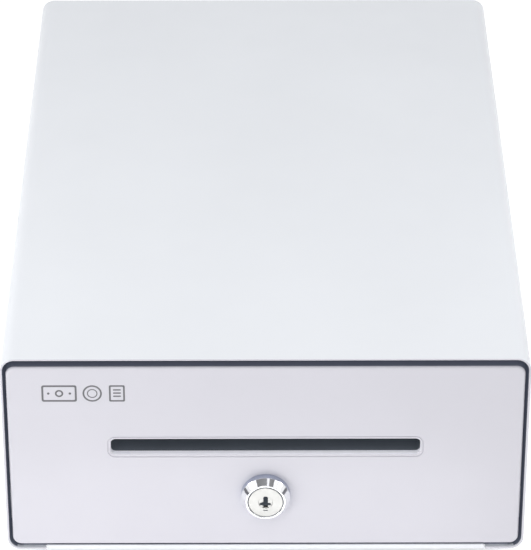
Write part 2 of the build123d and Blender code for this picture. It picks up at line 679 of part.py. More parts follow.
with BuildPart() as cam_screw:
    with BuildSketch(Plane.XZ.offset(-along(cam_y[1] + 2.4))):
        with Locations((0, LOCK_HEIGHT)):
            RegularPolygon(radius=4.2, side_count=6, major_radius=False)
    extrude(amount=2.4)
save(cam_screw, "cam_screw")
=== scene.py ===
"""Narrow white cash drawer: detailed pieces, materials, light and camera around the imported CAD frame."""

import math

import bmesh
import bpy
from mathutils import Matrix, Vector


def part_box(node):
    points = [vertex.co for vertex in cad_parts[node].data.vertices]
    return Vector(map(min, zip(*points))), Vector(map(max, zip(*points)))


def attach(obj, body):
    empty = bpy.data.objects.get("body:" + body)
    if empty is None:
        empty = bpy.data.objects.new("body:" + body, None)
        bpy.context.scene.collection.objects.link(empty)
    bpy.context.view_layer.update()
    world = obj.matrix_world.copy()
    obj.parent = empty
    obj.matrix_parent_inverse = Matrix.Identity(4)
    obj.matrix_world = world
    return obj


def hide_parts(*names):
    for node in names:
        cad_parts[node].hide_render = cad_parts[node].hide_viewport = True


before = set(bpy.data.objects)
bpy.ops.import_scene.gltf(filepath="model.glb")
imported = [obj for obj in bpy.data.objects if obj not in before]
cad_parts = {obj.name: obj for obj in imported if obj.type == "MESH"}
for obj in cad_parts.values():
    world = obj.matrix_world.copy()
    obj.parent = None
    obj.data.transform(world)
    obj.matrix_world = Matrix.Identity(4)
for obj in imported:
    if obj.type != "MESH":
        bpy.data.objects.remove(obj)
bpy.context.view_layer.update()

MM = 0.001
scene = bpy.context.scene


# ---------------------------------------------------------------- places taken from the frame

cover_low, cover_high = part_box("case_cover")
panel_low, panel_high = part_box("front_panel")
liner_low, liner_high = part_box("slot_liner")
collar_low, collar_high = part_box("lock_collar")
base_low, base_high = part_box("base_plate")

FRONT = cover_low[1]
BACK = cover_high[1]
HALF_W = cover_high[0]
TOP = cover_high[2]
BOTTOM = cover_low[2]
SHEET = 1.0 * MM
COVER_BEND = 6.5 * MM
FLANGE_END = 102.3 * MM
PANEL_T = 1.2 * MM
PANEL_BEND = 1.2 * MM
PANEL_CORNER = 4.0 * MM
SLOT_LIP = 3.6 * MM
LINER_OVER = 1.7 * MM
SLOT_CORNER = 2.2 * MM
slot_half_w = liner_high[0] - LINER_OVER
SLOT_RISE = 0.4 * MM
slot_half_h = (liner_high[2] - liner_low[2]) / 2 - LINER_OVER - SLOT_RISE
slot_z = (liner_high[2] + liner_low[2]) / 2 + SLOT_RISE
lock_z = (collar_high[2] + collar_low[2]) / 2
COLLAR_R = (collar_high[0] - collar_low[0]) / 2
COLLAR_PROUD = panel_low[1] - collar_low[1]


# ---------------------------------------------------------------- mesh helpers


def arc(centre, radius, start, end, steps):
    """Points on a circular arc from start to end, in degrees, both included."""
    points = []
    for step in range(steps + 1):
        angle = math.radians(start + (end - start) * step / steps)
        points.append((centre[0] + radius * math.cos(angle), centre[1] + radius * math.sin(angle)))
    return points


def rounded_outline(half_w, half_h, radius, steps=8):
    """A rounded rectangle about 0, 0, anticlockwise, the same number of points at any size."""
    corners = [(1, 1, 0), (-1, 1, 90), (-1, -1, 180), (1, -1, 270)]
    points = []
    for sx, sy, start in corners:
        centre = (sx * (half_w - radius), sy * (half_h - radius))
        points += arc(centre, radius, start, start + 90, steps)
    return points


def circle_outline(radius, steps=64, start=0.0):
    """A circle about 0, 0, anticlockwise."""
    return arc((0, 0), radius, start, start + 360 - 360 / steps, steps - 1)


def shifted(outline, x, z):
    """An outline moved in its own plane."""
    return [(x + u, z + v) for u, v in outline]


def middle_of(low, high):
    """The centre of a box."""
    return tuple((a + b) / 2 for a, b in zip(low, high))


def upright(points, x, y, z):
    """An outline drawn in x and z, stood up at this y."""
    return [(x + u, y, z + v) for u, v in points]


def level(points, x, y, z):
    """An outline drawn in x and y, laid at this z."""
    return [(x + u, y + v, z) for u, v in points]


def add_ring(bm, points):
    """New vertices for one ring."""
    return [bm.verts.new(point) for point in points]


def bridge(bm, first, second):
    """Quads between two rings of the same length."""
    count = len(first)
    for i in range(count):
        j = (i + 1) % count
        bm.faces.new((first[i], first[j], second[j], second[i]))


def skin(bm, rings, start_cap=True, end_cap=True, closed=False):
    """Rings of points joined in order, with flat ends or joined round to the first."""
    made = [add_ring(bm, ring) for ring in rings]
    for first, second in zip(made, made[1:]):
        bridge(bm, first, second)
    if closed:
        bridge(bm, made[-1], made[0])
        return made
    if start_cap:
        bm.faces.new(made[0])
    if end_cap:
        bm.faces.new(made[-1][::-1])
    return made


def ring_edges(ring):
    """The edges that join neighbours of a ring."""
    edges = []
    for i, vert in enumerate(ring):
        after = ring[(i + 1) % len(ring)]
        for edge in vert.link_edges:
            if edge.other_vert(vert) is after:
                edges.append(edge)
    return edges


def fill_between(bm, rings):
    """A flat face with holes, bounded by rings already in the mesh."""
    edges = []
    for ring in rings:
        edges += ring_edges(ring)
    bmesh.ops.triangle_fill(bm, use_beauty=True, use_dissolve=False, edges=edges)


def turned(bm, profile, place, axis="y", steps=72):
    """A turned form: profile is a closed list of (radius, distance along the axis)."""
    rings = []
    for step in range(steps):
        angle = 2 * math.pi * step / steps
        ring = []
        for radius, reach in profile:
            a, b = radius * math.cos(angle), radius * math.sin(angle)
            if axis == "y":
                ring.append((place[0] + a, place[1] + reach, place[2] + b))
            elif axis == "x":
                ring.append((place[0] + reach, place[1] + a, place[2] + b))
            else:
                ring.append((place[0] + a, place[1] + b, place[2] + reach))
        rings.append(ring)
    return skin(bm, rings, closed=True)


def soft_block(bm, low, high, radius, steps=2):
    """A box with rounded edges."""
    made = bmesh.ops.create_cube(bm, size=1.0)["verts"]
    for vert in made:
        for i in range(3):
            vert.co[i] = low[i] + (vert.co[i] + 0.5) * (high[i] - low[i])
    edges = {edge for vert in made for edge in vert.link_edges}
    if radius > 0:
        bmesh.ops.bevel(bm, geom=list(edges), offset=radius, segments=steps, profile=0.5, affect="EDGES")


def helix(bm, radius, wire, turns, start, end, per_turn=28, around=8):
    """A coil of round wire from start to end, both points on its axis."""
    start, end = Vector(start), Vector(end)
    along = (end - start).normalized()
    side = along.orthogonal().normalized()
    other = along.cross(side)
    count = int(turns * per_turn)
    rings = []
    for step in range(count + 1):
        share = step / count
        angle = 2 * math.pi * turns * share
        out = side * math.cos(angle) + other * math.sin(angle)
        middle = start.lerp(end, share) + out * radius
        ring = []
        for k in range(around):
            turn = 2 * math.pi * k / around
            ring.append(middle + out * (wire * math.cos(turn)) + along * (wire * math.sin(turn)))
        rings.append(ring)
    skin(bm, rings)


def finish_piece(name, bm, body, material, nodes=(), sharp=32):
    """Makes the object, shades it, and places it on its body in the frame."""
    bmesh.ops.remove_doubles(bm, verts=bm.verts, dist=1e-7)
    bmesh.ops.recalc_face_normals(bm, faces=bm.faces)
    mesh = bpy.data.meshes.new(name)
    bm.to_mesh(mesh)
    bm.free()
    mesh.shade_smooth()
    mesh.set_sharp_from_angle(angle=math.radians(sharp))
    piece = bpy.data.objects.new(name, mesh)
    scene.collection.objects.link(piece)
    for entry in material if isinstance(material, (list, tuple)) else [material]:
        mesh.materials.append(entry)
    weighting = piece.modifiers.new("even_shading", "WEIGHTED_NORMAL")
    weighting.keep_sharp = True
    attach(piece, body)
    if nodes:
        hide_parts(*nodes)
    return piece


# ---------------------------------------------------------------- materials


class Shader:
    """A Principled material that is built up node by node."""

    def __init__(self, name, colour, roughness, metallic=0.0, **fixed):
        self.material = bpy.data.materials.new(name)
        self.material.use_nodes = True
        self.nodes = self.material.node_tree.nodes
        self.links = self.material.node_tree.links
        self.surface = self.nodes["Principled BSDF"]
        self.surface.inputs["Base Color"].default_value = (*colour, 1.0)
        self.surface.inputs["Roughness"].default_value = roughness
        self.surface.inputs["Metallic"].default_value = metallic
        for socket, value in fixed.items():
            self.surface.inputs[socket.replace("_", " ")].default_value = value
        self.place = self.nodes.new("ShaderNodeTexCoord").outputs["Object"]

    def scaled(self, scale):
        """The object's coordinates, stretched."""
        mapping = self.nodes.new("ShaderNodeMapping")
        mapping.inputs["Scale"].default_value = scale
        self.links.new(self.place, mapping.inputs["Vector"])
        return mapping.outputs["Vector"]

    def noise(self, scale, detail=3.0, stretch=(1, 1, 1), roughness=0.5):
        """A noise value from 0 to 1."""
        texture = self.nodes.new("ShaderNodeTexNoise")
        texture.inputs["Scale"].default_value = scale
        texture.inputs["Detail"].default_value = detail
        texture.inputs["Roughness"].default_value = roughness
        self.links.new(self.scaled(stretch), texture.inputs["Vector"])
        return texture.outputs["Fac"]

    def ramp(self, value, stops):
        """A colour from a value, stops as (position, colour)."""
        ramp = self.nodes.new("ShaderNodeValToRGB")
        ramp.color_ramp.elements[0].position = stops[0][0]
        ramp.color_ramp.elements[0].color = (*stops[0][1], 1.0)
        ramp.color_ramp.elements[1].position = stops[-1][0]
        ramp.color_ramp.elements[1].color = (*stops[-1][1], 1.0)
        for position, colour in stops[1:-1]:
            ramp.color_ramp.elements.new(position).color = (*colour, 1.0)
        self.links.new(value, ramp.inputs["Fac"])
        return ramp.outputs["Color"]

    def spread(self, value, low, high, start=0.3, end=0.7):
        """A value mapped from start..end to low..high."""
        spread = self.nodes.new("ShaderNodeMapRange")
        spread.inputs["From Min"].default_value = start
        spread.inputs["From Max"].default_value = end
        spread.inputs["To Min"].default_value = low
        spread.inputs["To Max"].default_value = high
        self.links.new(value, spread.inputs["Value"])
        return spread.outputs["Result"]

    def tint(self, value, stops):
        """Drives the base colour."""
        self.links.new(self.ramp(value, stops), self.surface.inputs["Base Color"])

    def shine(self, value, low, high):
        """Drives the roughness."""
        self.links.new(self.spread(value, low, high), self.surface.inputs["Roughness"])

    def relief(self, value, strength, distance):
        """Adds a bump; a later one lies on top of an earlier one."""
        bump = self.nodes.new("ShaderNodeBump")
        bump.inputs["Strength"].default_value = strength
        bump.inputs["Distance"].default_value = distance
        self.links.new(value, bump.inputs["Height"])
        earlier = self.surface.inputs["Normal"].links
        if earlier:
            self.links.new(earlier[0].from_socket, bump.inputs["Normal"])
        self.links.new(bump.outputs["Normal"], self.surface.inputs["Normal"])


def shade(colour, factor):
    """The colour, lighter or darker."""
    return tuple(min(1.0, part * factor) for part in colour)


def powder_coat(name, colour, roughness=0.36):
    """Satin powder coat: fine orange peel, a faint drift of tone and gloss."""
    coat = Shader(name, colour, roughness, Coat_Weight=0.12, Coat_Roughness=0.25)
    coat.tint(coat.noise(14.0, 4.0), [(0.3, shade(colour, 0.985)), (0.7, shade(colour, 1.012))])
    coat.shine(coat.noise(60.0, 3.0), roughness - 0.04, roughness + 0.05)
    coat.relief(coat.noise(1400.0, 2.0), 0.10, 0.00004)
    coat.relief(coat.noise(260.0, 2.0), 0.06, 0.00006)
    return coat.material


def plated_steel(name, colour, roughness=0.34, stretch=(1, 14, 1)):
    """Zinc-plated sheet: rolling streaks, cloudy tone and small scuffs."""
    steel = Shader(name, colour, roughness, 1.0)
    cloud = steel.noise(130.0, 5.0)
    steel.tint(cloud, [(0.3, shade(colour, 0.92)), (0.5, colour), (0.72, shade(colour, 1.06))])
    steel.shine(steel.noise(420.0, 4.0, stretch), roughness - 0.08, roughness + 0.12)
    steel.relief(steel.noise(900.0, 3.0, stretch), 0.12, 0.00003)
    return steel.material


def bright_metal(name, colour, roughness, streak=(1, 1, 1)):
    """Turned or drawn metal: fine tool marks and a slight change of tone."""
    metal = Shader(name, colour, roughness, 1.0)
    metal.tint(metal.noise(220.0, 3.0), [(0.3, shade(colour, 0.94)), (0.7, shade(colour, 1.03))])
    metal.shine(metal.noise(1500.0, 3.0, streak), max(0.02, roughness - 0.03), roughness + 0.05)
    metal.relief(metal.noise(2600.0, 2.0, streak), 0.05, 0.00001)
    return metal.material


def moulded(name, colour, roughness, grain=1500.0, depth=0.00004, **fixed):
    """Moulded plastic: spark-eroded grain with a little unevenness in tone and gloss."""
    plastic = Shader(name, colour, roughness, 0.0, **fixed)
    plastic.tint(plastic.noise(45.0, 4.0), [(0.3, shade(colour, 0.88)), (0.7, shade(colour, 1.12))])
    plastic.shine(plastic.noise(120.0, 3.0), roughness - 0.06, roughness + 0.07)
    plastic.relief(plastic.noise(grain, 2.0), 0.25, depth)
    return plastic.material


def add_painted_glow(material, colour, strength):
    """Gives a material a faint emission of its own: painted light that lifts the shade in narrow gaps, the
    slot and the lock, and brightens the slot's lip.
    """
    surface = material.node_tree.nodes["Principled BSDF"].inputs
    surface["Emission Color"].default_value = (*colour, 1.0)
    surface["Emission Strength"].default_value = strength


white_paint = powder_coat("white_powder_coat", (0.775, 0.795, 0.83))
# Front coat: a slightly lilac white, darkened well below the wrap's white as painted shade for front-facing
# faces; the cover's front rim takes it too.
front_coat_painted_shade = powder_coat("front_coat_with_painted_shade", (0.605, 0.597, 0.645), 0.33)
# Slot lip coat: a brighter white with a faint glow, a painted highlight on the rolled lip of the slot.
lip_painted_highlight = powder_coat("lip_coat_painted_highlight", (0.93, 0.93, 0.99), 0.30)
add_painted_glow(lip_painted_highlight, (0.95, 0.95, 1.0), 0.06)
# Dark material with a faint glow for the cover's inside, the panel's returns and the base behind its lip:
# painted shade that makes the gaps round the front read dark.
painted_gap_shade = moulded("gap_shade_painted", (0.088, 0.095, 0.118), 0.75, 900.0)
add_painted_glow(painted_gap_shade, (0.42, 0.47, 0.66), 0.085)
zinc = plated_steel("zinc_plate", (0.62, 0.64, 0.66))
bright = bright_metal("bright_steel", (0.72, 0.72, 0.73), 0.22)
spring_wire = bright_metal("spring_wire", (0.42, 0.43, 0.45), 0.3)
chrome = bright_metal("polished_chrome", (0.89, 0.90, 0.92), 0.06)
# Rim chrome: darker and bluer than the collar's chrome, a bluish plating with painted shade and reflection
# of the shaded panel above the rim.
rim_chrome_painted_shade = bright_metal("bluish_chrome_painted_shade", (0.52, 0.56, 0.66), 0.16)
nickel = bright_metal("satin_nickel", (0.56, 0.56, 0.54), 0.36)
# Dark material with a faint glow for the plug's groove, keyway and index mark: painted shade.
groove_painted_shade = moulded("groove_keyway_painted_shade", (0.085, 0.09, 0.10), 0.6)
add_painted_glow(groove_painted_shade, (0.40, 0.47, 0.56), 0.10)
nylon = moulded("natural_nylon", (0.80, 0.79, 0.74), 0.38, 800.0, 0.00002, Subsurface_Weight=0.12)
rubber = moulded("black_rubber", (0.022, 0.022, 0.023), 0.72, 1100.0)
black = moulded("black_abs", (0.028, 0.030, 0.033), 0.48)
liner_paint = moulded("liner_grey", (0.105, 0.120, 0.140), 0.7)
# The liner keeps its dark grey; its faint glow is painted light that lifts the shade inside the slot
# evenly.
add_painted_glow(liner_paint, (0.40, 0.47, 0.56), 0.045)
copper = bright_metal("enamelled_wire", (0.62, 0.23, 0.10), 0.3, (1, 1, 40))
print_grey = moulded("print_grey", (0.135, 0.135, 0.145), 0.5, 2500.0, 0.00001)
card_black = moulded("card_grey", (0.16, 0.16, 0.175), 0.8)
brass = bright_metal("gold_contacts", (0.85, 0.62, 0.28), 0.2)


# ---------------------------------------------------------------- case


def cover_outline(thin, relief):
    """The closed outline of the wrap in x and z, thinned at its rounded rims and relieved under its top."""
    outer_r = COVER_BEND - thin
    inner_r = COVER_BEND - SHEET + thin
    top, low = TOP - thin, BOTTOM + thin
    top_in, low_in = TOP - SHEET + thin, BOTTOM + SHEET - thin
    steps = 12
    bend_x, bend_top, bend_low = HALF_W - COVER_BEND, TOP - COVER_BEND, BOTTOM + COVER_BEND
    across_top = 24

    def top_run(z, start, end):
        return [(start + (end - start) * i / across_top, z) for i in range(1, across_top)]

    outer = [(-FLANGE_END, low)]
    outer += arc((-bend_x, bend_low), outer_r, 270, 180, steps)
    outer += arc((-bend_x, bend_top), outer_r, 180, 90, steps)
    outer += top_run(top, -bend_x, bend_x)
    outer += arc((bend_x, bend_top), outer_r, 90, 0, steps)
    outer += arc((bend_x, bend_low), outer_r, 0, -90, steps)
    outer += [(FLANGE_END, low)]
    inner = [(FLANGE_END, low_in)]
    inner += arc((bend_x, bend_low), inner_r, -90, 0, steps)
    inner += arc((bend_x, bend_top), inner_r, 0, 90, steps)
    inner += top_run(top_in, bend_x, -bend_x)
    inner += arc((-bend_x, bend_top), inner_r, 90, 180, steps)
    inner += arc((-bend_x, bend_low), inner_r, 180, 270, steps)
    inner += [(-FLANGE_END, low_in)]
    inner = [(x, z + relief * max(0.0, (z - bend_top) / inner_r)) for x, z in inner]
    return outer + inner, len(outer)


def build_cover():
    """The white wrap, its rims rounded; its inside takes a dark, faintly glowing material as painted shade
    for the gaps, and its front rim the darker front coat as painted shade.
    """
    bm = bmesh.new()
    rim = 0.22 * MM
    relief = 0.36 * MM
    painted = 2.6 * MM
    runs = 24
    stations = [
        (FRONT, rim, relief),
        (FRONT + rim * 0.3, rim * 0.3, relief),
        (FRONT + rim, 0.0, relief),
        (FRONT + 0.8 * MM, 0.0, relief),
        (FRONT + painted, 0.0, relief * 0.7),
        (FRONT + 6.0 * MM, 0.0, 0.0),
    ]
    for i in range(1, runs):
        stations.append((FRONT + (BACK - FRONT) * i / runs, 0.0, 0.0))
    stations += [
        (BACK - painted, 0.0, 0.0),
        (BACK - rim, 0.0, 0.0),
        (BACK - rim * 0.3, rim * 0.3, 0.0),
        (BACK, rim, 0.0),
    ]
    rings = []
    outer_count = 0
    for y, thin, eased in stations:
        outline, outer_count = cover_outline(thin, eased)
        rings.append([(x, y, z) for x, z in outline])
    made = skin(bm, rings, start_cap=False, end_cap=False)
    for ring in (made[0], made[-1]):
        count = len(ring)
        for i in range(outer_count - 1):
            j = count - 1 - i
            bm.faces.new((ring[i], ring[i + 1], ring[j - 1], ring[j]))
    inner_verts = {vert for ring in made for vert in ring[outer_count:]}
    # Inner faces away from the rims get painted shade (index 1); front-facing rim faces get the darker
    # front coat, painted shade as well (index 2).
    for face in bm.faces:
        centre = face.calc_center_median()
        edge = painted if centre.z < BOTTOM + SHEET * 1.5 else 0.8 * MM
        is_inner = all(vert in inner_verts for vert in face.verts)
        if is_inner and FRONT + edge < centre.y < BACK - painted:
            face.material_index = 1
        elif centre.y < FRONT + rim:
            face.material_index = 2
    coats = [white_paint, painted_gap_shade, front_coat_painted_shade]
    finish_piece("cover_wrap", bm, "case", coats, ["case_cover"])


def build_base():
    """Base plate with a folded front lip that shows between the cover's flanges."""
    bm = bmesh.new()
    lip_half = FLANGE_END - 0.5 * MM
    lip_t = 1.1 * MM
    lip_y = base_low[1]
    plate_low = BOTTOM + SHEET
    soft_block(bm, (-lip_half, lip_y, base_low[2]), (lip_half, lip_y + lip_t, base_high[2]), 0.3 * MM, 3)
    fold_top = base_high[2] - 0.35 * MM
    plate_top = plate_low + 1.2 * MM
    soft_block(bm, (-lip_half, lip_y + lip_t, plate_low), (lip_half, lip_y + 4 * MM, fold_top), 0.1 * MM)
    plate_start = (base_low[0], lip_y + 2 * MM, plate_low)
    soft_block(bm, plate_start, (base_high[0], base_high[1], plate_top), 0.2 * MM)
    rib_low, rib_top = plate_low - 0.6 * MM, plate_low + 0.1 * MM
    near, far = FRONT + 60 * MM, BACK - 60 * MM
    for i in range(5):
        x = (-60 + 30 * i) * MM
        soft_block(bm, (x - 3 * MM, near, rib_low), (x + 3 * MM, far, rib_top), 0.3 * MM)
    # Faces behind the front lip, above the plate's underside, take the dark material: painted shade for the
    # gap under the panel and inside the case.
    for face in bm.faces:
        centre = face.calc_center_median()
        if centre.y > lip_y + 1.3 * MM and centre.z > plate_low + 0.5 * MM:
            face.material_index = 1
    finish_piece("base_pan", bm, "case", [white_paint, painted_gap_shade], ["base_plate"])


build_cover()
build_base()


# ---------------------------------------------------------------- drawer front


def build_panel():
    """Pressed front: rolled edges with returns, a media slot with a rolled-in lip, and the lock hole."""
    bm = bmesh.new()
    half_w = (panel_high[0] - panel_low[0]) / 2
    half_h = (panel_high[2] - panel_low[2]) / 2
    centre_z = (panel_high[2] + panel_low[2]) / 2
    face_y = panel_low[1]
    back_y = panel_high[1]
    bend_steps = 6

    def pan_ring(inset, y):
        outline = rounded_outline(half_w - inset, half_h - inset, PANEL_CORNER - inset * 0.8, 10)
        return upright(outline, 0, y, centre_z)

    def slot_ring(outset, y):
        outline = rounded_outline(slot_half_w + outset, slot_half_h + outset, SLOT_CORNER + outset, 8)
        return upright(outline, 0, y, slot_z)

    rolled = []
    for step in range(bend_steps + 1):
        angle = math.pi / 2 * step / bend_steps
        inset, sunk = PANEL_BEND * (1 - math.sin(angle)), PANEL_BEND * (1 - math.cos(angle))
        rolled.append(pan_ring(inset, face_y + sunk))
    rolled.append(pan_ring(0, back_y - 0.2 * MM))
    rolled.append(pan_ring(0.2 * MM, back_y))
    rolled.append(pan_ring(PANEL_T - 0.2 * MM, back_y))
    rolled.append(pan_ring(PANEL_T, back_y - 0.2 * MM))
    rolled.append(pan_ring(PANEL_T, face_y + PANEL_T + 0.4 * MM))
    rolled.append(pan_ring(PANEL_T + 0.4 * MM, face_y + PANEL_T))
    pan = skin(bm, rolled, start_cap=False, end_cap=False)

    lip_r = 0.45 * MM
    groove = 0.35 * MM
    lip = [
        slot_ring(1.55 * MM, face_y),
        slot_ring(1.40 * MM, face_y + groove),
        slot_ring(1.05 * MM, face_y + groove),
        slot_ring(0.90 * MM, face_y),
    ]
    for step in range(bend_steps + 1):
        angle = math.pi / 2 * step / bend_steps
        lip.append(slot_ring(lip_r * (1 - math.sin(angle)), face_y + lip_r * (1 - math.cos(angle))))
    lip.append(slot_ring(0, face_y + SLOT_LIP - 0.3 * MM))
    lip.append(slot_ring(0.3 * MM, face_y + SLOT_LIP))
    lip.append(slot_ring(PANEL_T - 0.3 * MM, face_y + SLOT_LIP))
    lip.append(slot_ring(PANEL_T, face_y + SLOT_LIP - 0.3 * MM))
    lip.append(slot_ring(PANEL_T, face_y + PANEL_T))
    slot = skin(bm, lip, start_cap=False, end_cap=False)

    hole_r = 9.1 * MM
    hole_rings = [upright(circle_outline(hole_r), 0, y, lock_z) for y in (face_y, face_y + PANEL_T)]
    hole = skin(bm, hole_rings, start_cap=False, end_cap=False)
    fill_between(bm, [pan[0], slot[0], hole[0]])
    fill_between(bm, [pan[-1], slot[-1], hole[-1]])
    # The returns behind the rolled edge take the dark material, painted shade for the gap round the front;
    # the slot's rolled lip takes the brighter glowing coat, a painted highlight.
    for face in bm.faces:
        centre = face.calc_center_median()
        past_x = max(0.0, abs(centre.x) - half_w + PANEL_CORNER)
        past_z = max(0.0, abs(centre.z - centre_z) - half_h + PANEL_CORNER)
        if math.hypot(past_x, past_z) > PANEL_CORNER - 0.6 * MM and centre.y > face_y + PANEL_BEND:
            face.material_index = 1
        off_slot_x = abs(centre.x) - slot_half_w
        off_slot_z = abs(centre.z - slot_z) - slot_half_h
        if max(off_slot_x, off_slot_z) < lip_r * 0.3 and centre.y > face_y + lip_r * 0.6:
            face.material_index = 2
    coats = [front_coat_painted_shade, painted_gap_shade, lip_painted_highlight]
    finish_piece("drawer_front", bm, "drawer", coats, ["front_panel"])


build_panel()


# ---------------------------------------------------------------- lock


def build_collar():
    """Turned and chromed collar: straight rim, cone, rounded bright ring and a barrel with thread turns."""
    proud = COLLAR_PROUD
    face_r = 9.3 * MM
    bore_r = 8.2 * MM
    rim = 3.5 * MM
    barrel_r = 9.0 * MM
    barrel_end = collar_high[1] - panel_low[1]
    profile = [(bore_r, -proud + 0.9 * MM)]
    profile += [(bore_r, -proud + 0.35 * MM)]
    profile += arc((bore_r + 0.5 * MM, -proud + 0.5 * MM), 0.5 * MM, 200, 270, 5)
    profile += arc((face_r - 0.45 * MM, -proud + 0.45 * MM), 0.45 * MM, 270, 327, 5)
    profile += arc((COLLAR_R - 0.35 * MM, -rim + 0.12 * MM), 0.35 * MM, -33, 0, 4)
    profile += [(COLLAR_R, -0.15 * MM), (COLLAR_R - 0.15 * MM, 0.0), (barrel_r, 0.0)]
    pitch = 1.0 * MM
    reach = PANEL_T
    while reach + pitch < barrel_end - 0.4 * MM:
        profile += [(barrel_r, reach + 0.1 * pitch), (barrel_r - 0.45 * MM, reach + 0.5 * pitch)]
        reach += pitch
    profile += [(barrel_r, barrel_end - 0.4 * MM), (barrel_r - 0.4 * MM, barrel_end), (bore_r, barrel_end)]
    bm = bmesh.new()
    turned(bm, profile, (0, panel_low[1], lock_z), "y", 128)
    # The rim's outer faces take the darker, bluer chrome: bluish plating with painted shade and reflection.
    for face in bm.faces:
        centre = face.calc_center_median()
        from_axis = math.hypot(centre.x, centre.z - lock_z)
        if from_axis > COLLAR_R - 0.3 * MM and centre.y > panel_low[1] - rim + 0.1 * MM:
            face.material_index = 1
    finish_piece("lock_ring", bm, "drawer", [chrome, rim_chrome_painted_shade], ["lock_collar"], sharp=28)


def build_print():
    """A generic grey print in the corner of the front: a banknote, a coin and a slip."""
    bm = bmesh.new()
    y_front = panel_low[1] - 0.03 * MM
    y_back = panel_low[1] + 0.02 * MM
    left, middle_z = -101.5 * MM, panel_high[2] - 13.7 * MM

    def plate(outlines):
        """A thin raised flat shape with holes, its outlines given in x and z."""
        front = [add_ring(bm, [(x, y_front, z) for x, z in outline]) for outline in outlines]
        back = [add_ring(bm, [(x, y_back, z) for x, z in outline]) for outline in outlines]
        for near, far in zip(front, back):
            bridge(bm, near, far)
        fill_between(bm, front)
        fill_between(bm, back)

    note_x = left + 8 * MM
    plate([
        shifted(rounded_outline(8 * MM, 4.4 * MM, 1.0 * MM, 5), note_x, middle_z),
        shifted(rounded_outline(7.1 * MM, 3.5 * MM, 0.5 * MM, 5), note_x, middle_z),
    ])
    plate([shifted(circle_outline(radius * MM, 28), note_x, middle_z) for radius in (1.9, 1.1)])
    for side in (-1, 1):
        plate([shifted(circle_outline(0.6 * MM, 14), note_x + side * 4.9 * MM, middle_z)])
    coin_x = left + 23.0 * MM
    plate([shifted(circle_outline(radius * MM, 40), coin_x, middle_z) for radius in (4.4, 3.6)])
    plate([shifted(circle_outline(radius * MM, 28), coin_x, middle_z) for radius in (2.4, 1.9)])
    slip_x = left + 34.2 * MM
    plate([
        shifted(rounded_outline(3.6 * MM, 4.4 * MM, 0.7 * MM, 5), slip_x, middle_z),
        shifted(rounded_outline(2.8 * MM, 3.6 * MM, 0.4 * MM, 5), slip_x, middle_z),
    ])
    for row in range(3):
        row_z = middle_z + (1.9 - 1.7 * row) * MM
        plate([shifted(rounded_outline(1.8 * MM, 0.35 * MM, 0.3 * MM, 3), slip_x, row_z)])
    finish_piece("front_print", bm, "drawer", print_grey)


def build_plug():
    """Plug: a satin face in a groove painted dark as shade, a shallow dish, a warded keyway and an index
    mark.
    """
    radius = 8.1 * MM
    face_r = 7.85 * MM
    face_y = panel_low[1] - COLLAR_PROUD + 0.15 * MM
    end_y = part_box("lock_plug")[1][1]
    dish_r, dish_deep = 3.35 * MM, 0.5 * MM
    keyway_deep = 7 * MM
    bm = bmesh.new()

    def ring(r, y):
        return upright(circle_outline(r, 72), 0, y, lock_z)

    def stood(outline, y):
        return [(x * MM, y, lock_z + z * MM) for x, z in outline]

    body = skin(bm, [
        ring(face_r - 0.12 * MM, face_y),
        ring(face_r, face_y + 0.1 * MM),
        ring(face_r, face_y + 0.9 * MM),
        ring(radius, face_y + 0.9 * MM),
        ring(radius, end_y),
    ], start_cap=False)
    dish = skin(bm, [
        ring(dish_r, face_y),
        ring(dish_r - 0.1 * MM, face_y + 0.1 * MM),
        ring(dish_r - 0.25 * MM, face_y + dish_deep),
    ], start_cap=False, end_cap=False)
    key = arc((0, 2.0), 1.1, 0, 180, 10)
    key += [(-1.1, 0.1), (-1.9, -0.35)] + arc((-2.2, -1.15), 0.62, 110, 250, 5) + [(-1.1, -2.1)]
    key += [(-1.1, -2.9), (1.1, -2.9)]
    key += [(1.1, -2.0)] + arc((2.0, -1.25), 0.55, -80, 80, 5) + [(1.1, -0.45)]
    key_y = face_y + dish_deep
    slot = skin(bm, [stood(key, key_y), stood(key, key_y + keyway_deep)], start_cap=False)
    fill_between(bm, [dish[-1], slot[0]])
    mark_z, mark_deep = -4.3, 0.3 * MM
    mark = shifted([
        (-1.0, 0.22), (-0.35, 0.22), (-0.2, 0.08), (0.2, 0.08),
        (0.35, 0.22), (1.0, 0.22), (1.0, -0.35), (-1.0, -0.35),
    ], 0, mark_z)
    cut = skin(bm, [stood(mark, face_y), stood(mark, face_y + mark_deep)], start_cap=False)
    fill_between(bm, [body[0], dish[0], cut[0]])
    # Groove, keyway and index-mark faces take the dark glowing material: painted shade.
    for face in bm.faces:
        centre = face.calc_center_median()
        from_axis = math.hypot(centre.x, centre.z - lock_z)
        depth = centre.y - face_y
        in_groove = from_axis > face_r - 0.05 * MM and 0.08 * MM < depth < 1.2 * MM
        in_keyway = depth > dish_deep + 0.1 * MM and from_axis < dish_r
        below_mark = centre.z < lock_z + (mark_z + 0.4) * MM
        in_mark = below_mark and depth > 0.05 * MM and from_axis < 5 * MM
        if in_groove or in_keyway or in_mark:
            face.material_index = 1
    finish_piece("key_plug", bm, "lock", [nickel, groove_painted_shade], ["lock_plug"], sharp=25)


build_collar()
build_plug()
build_print()


# ---------------------------------------------------------------- small parts used in several places


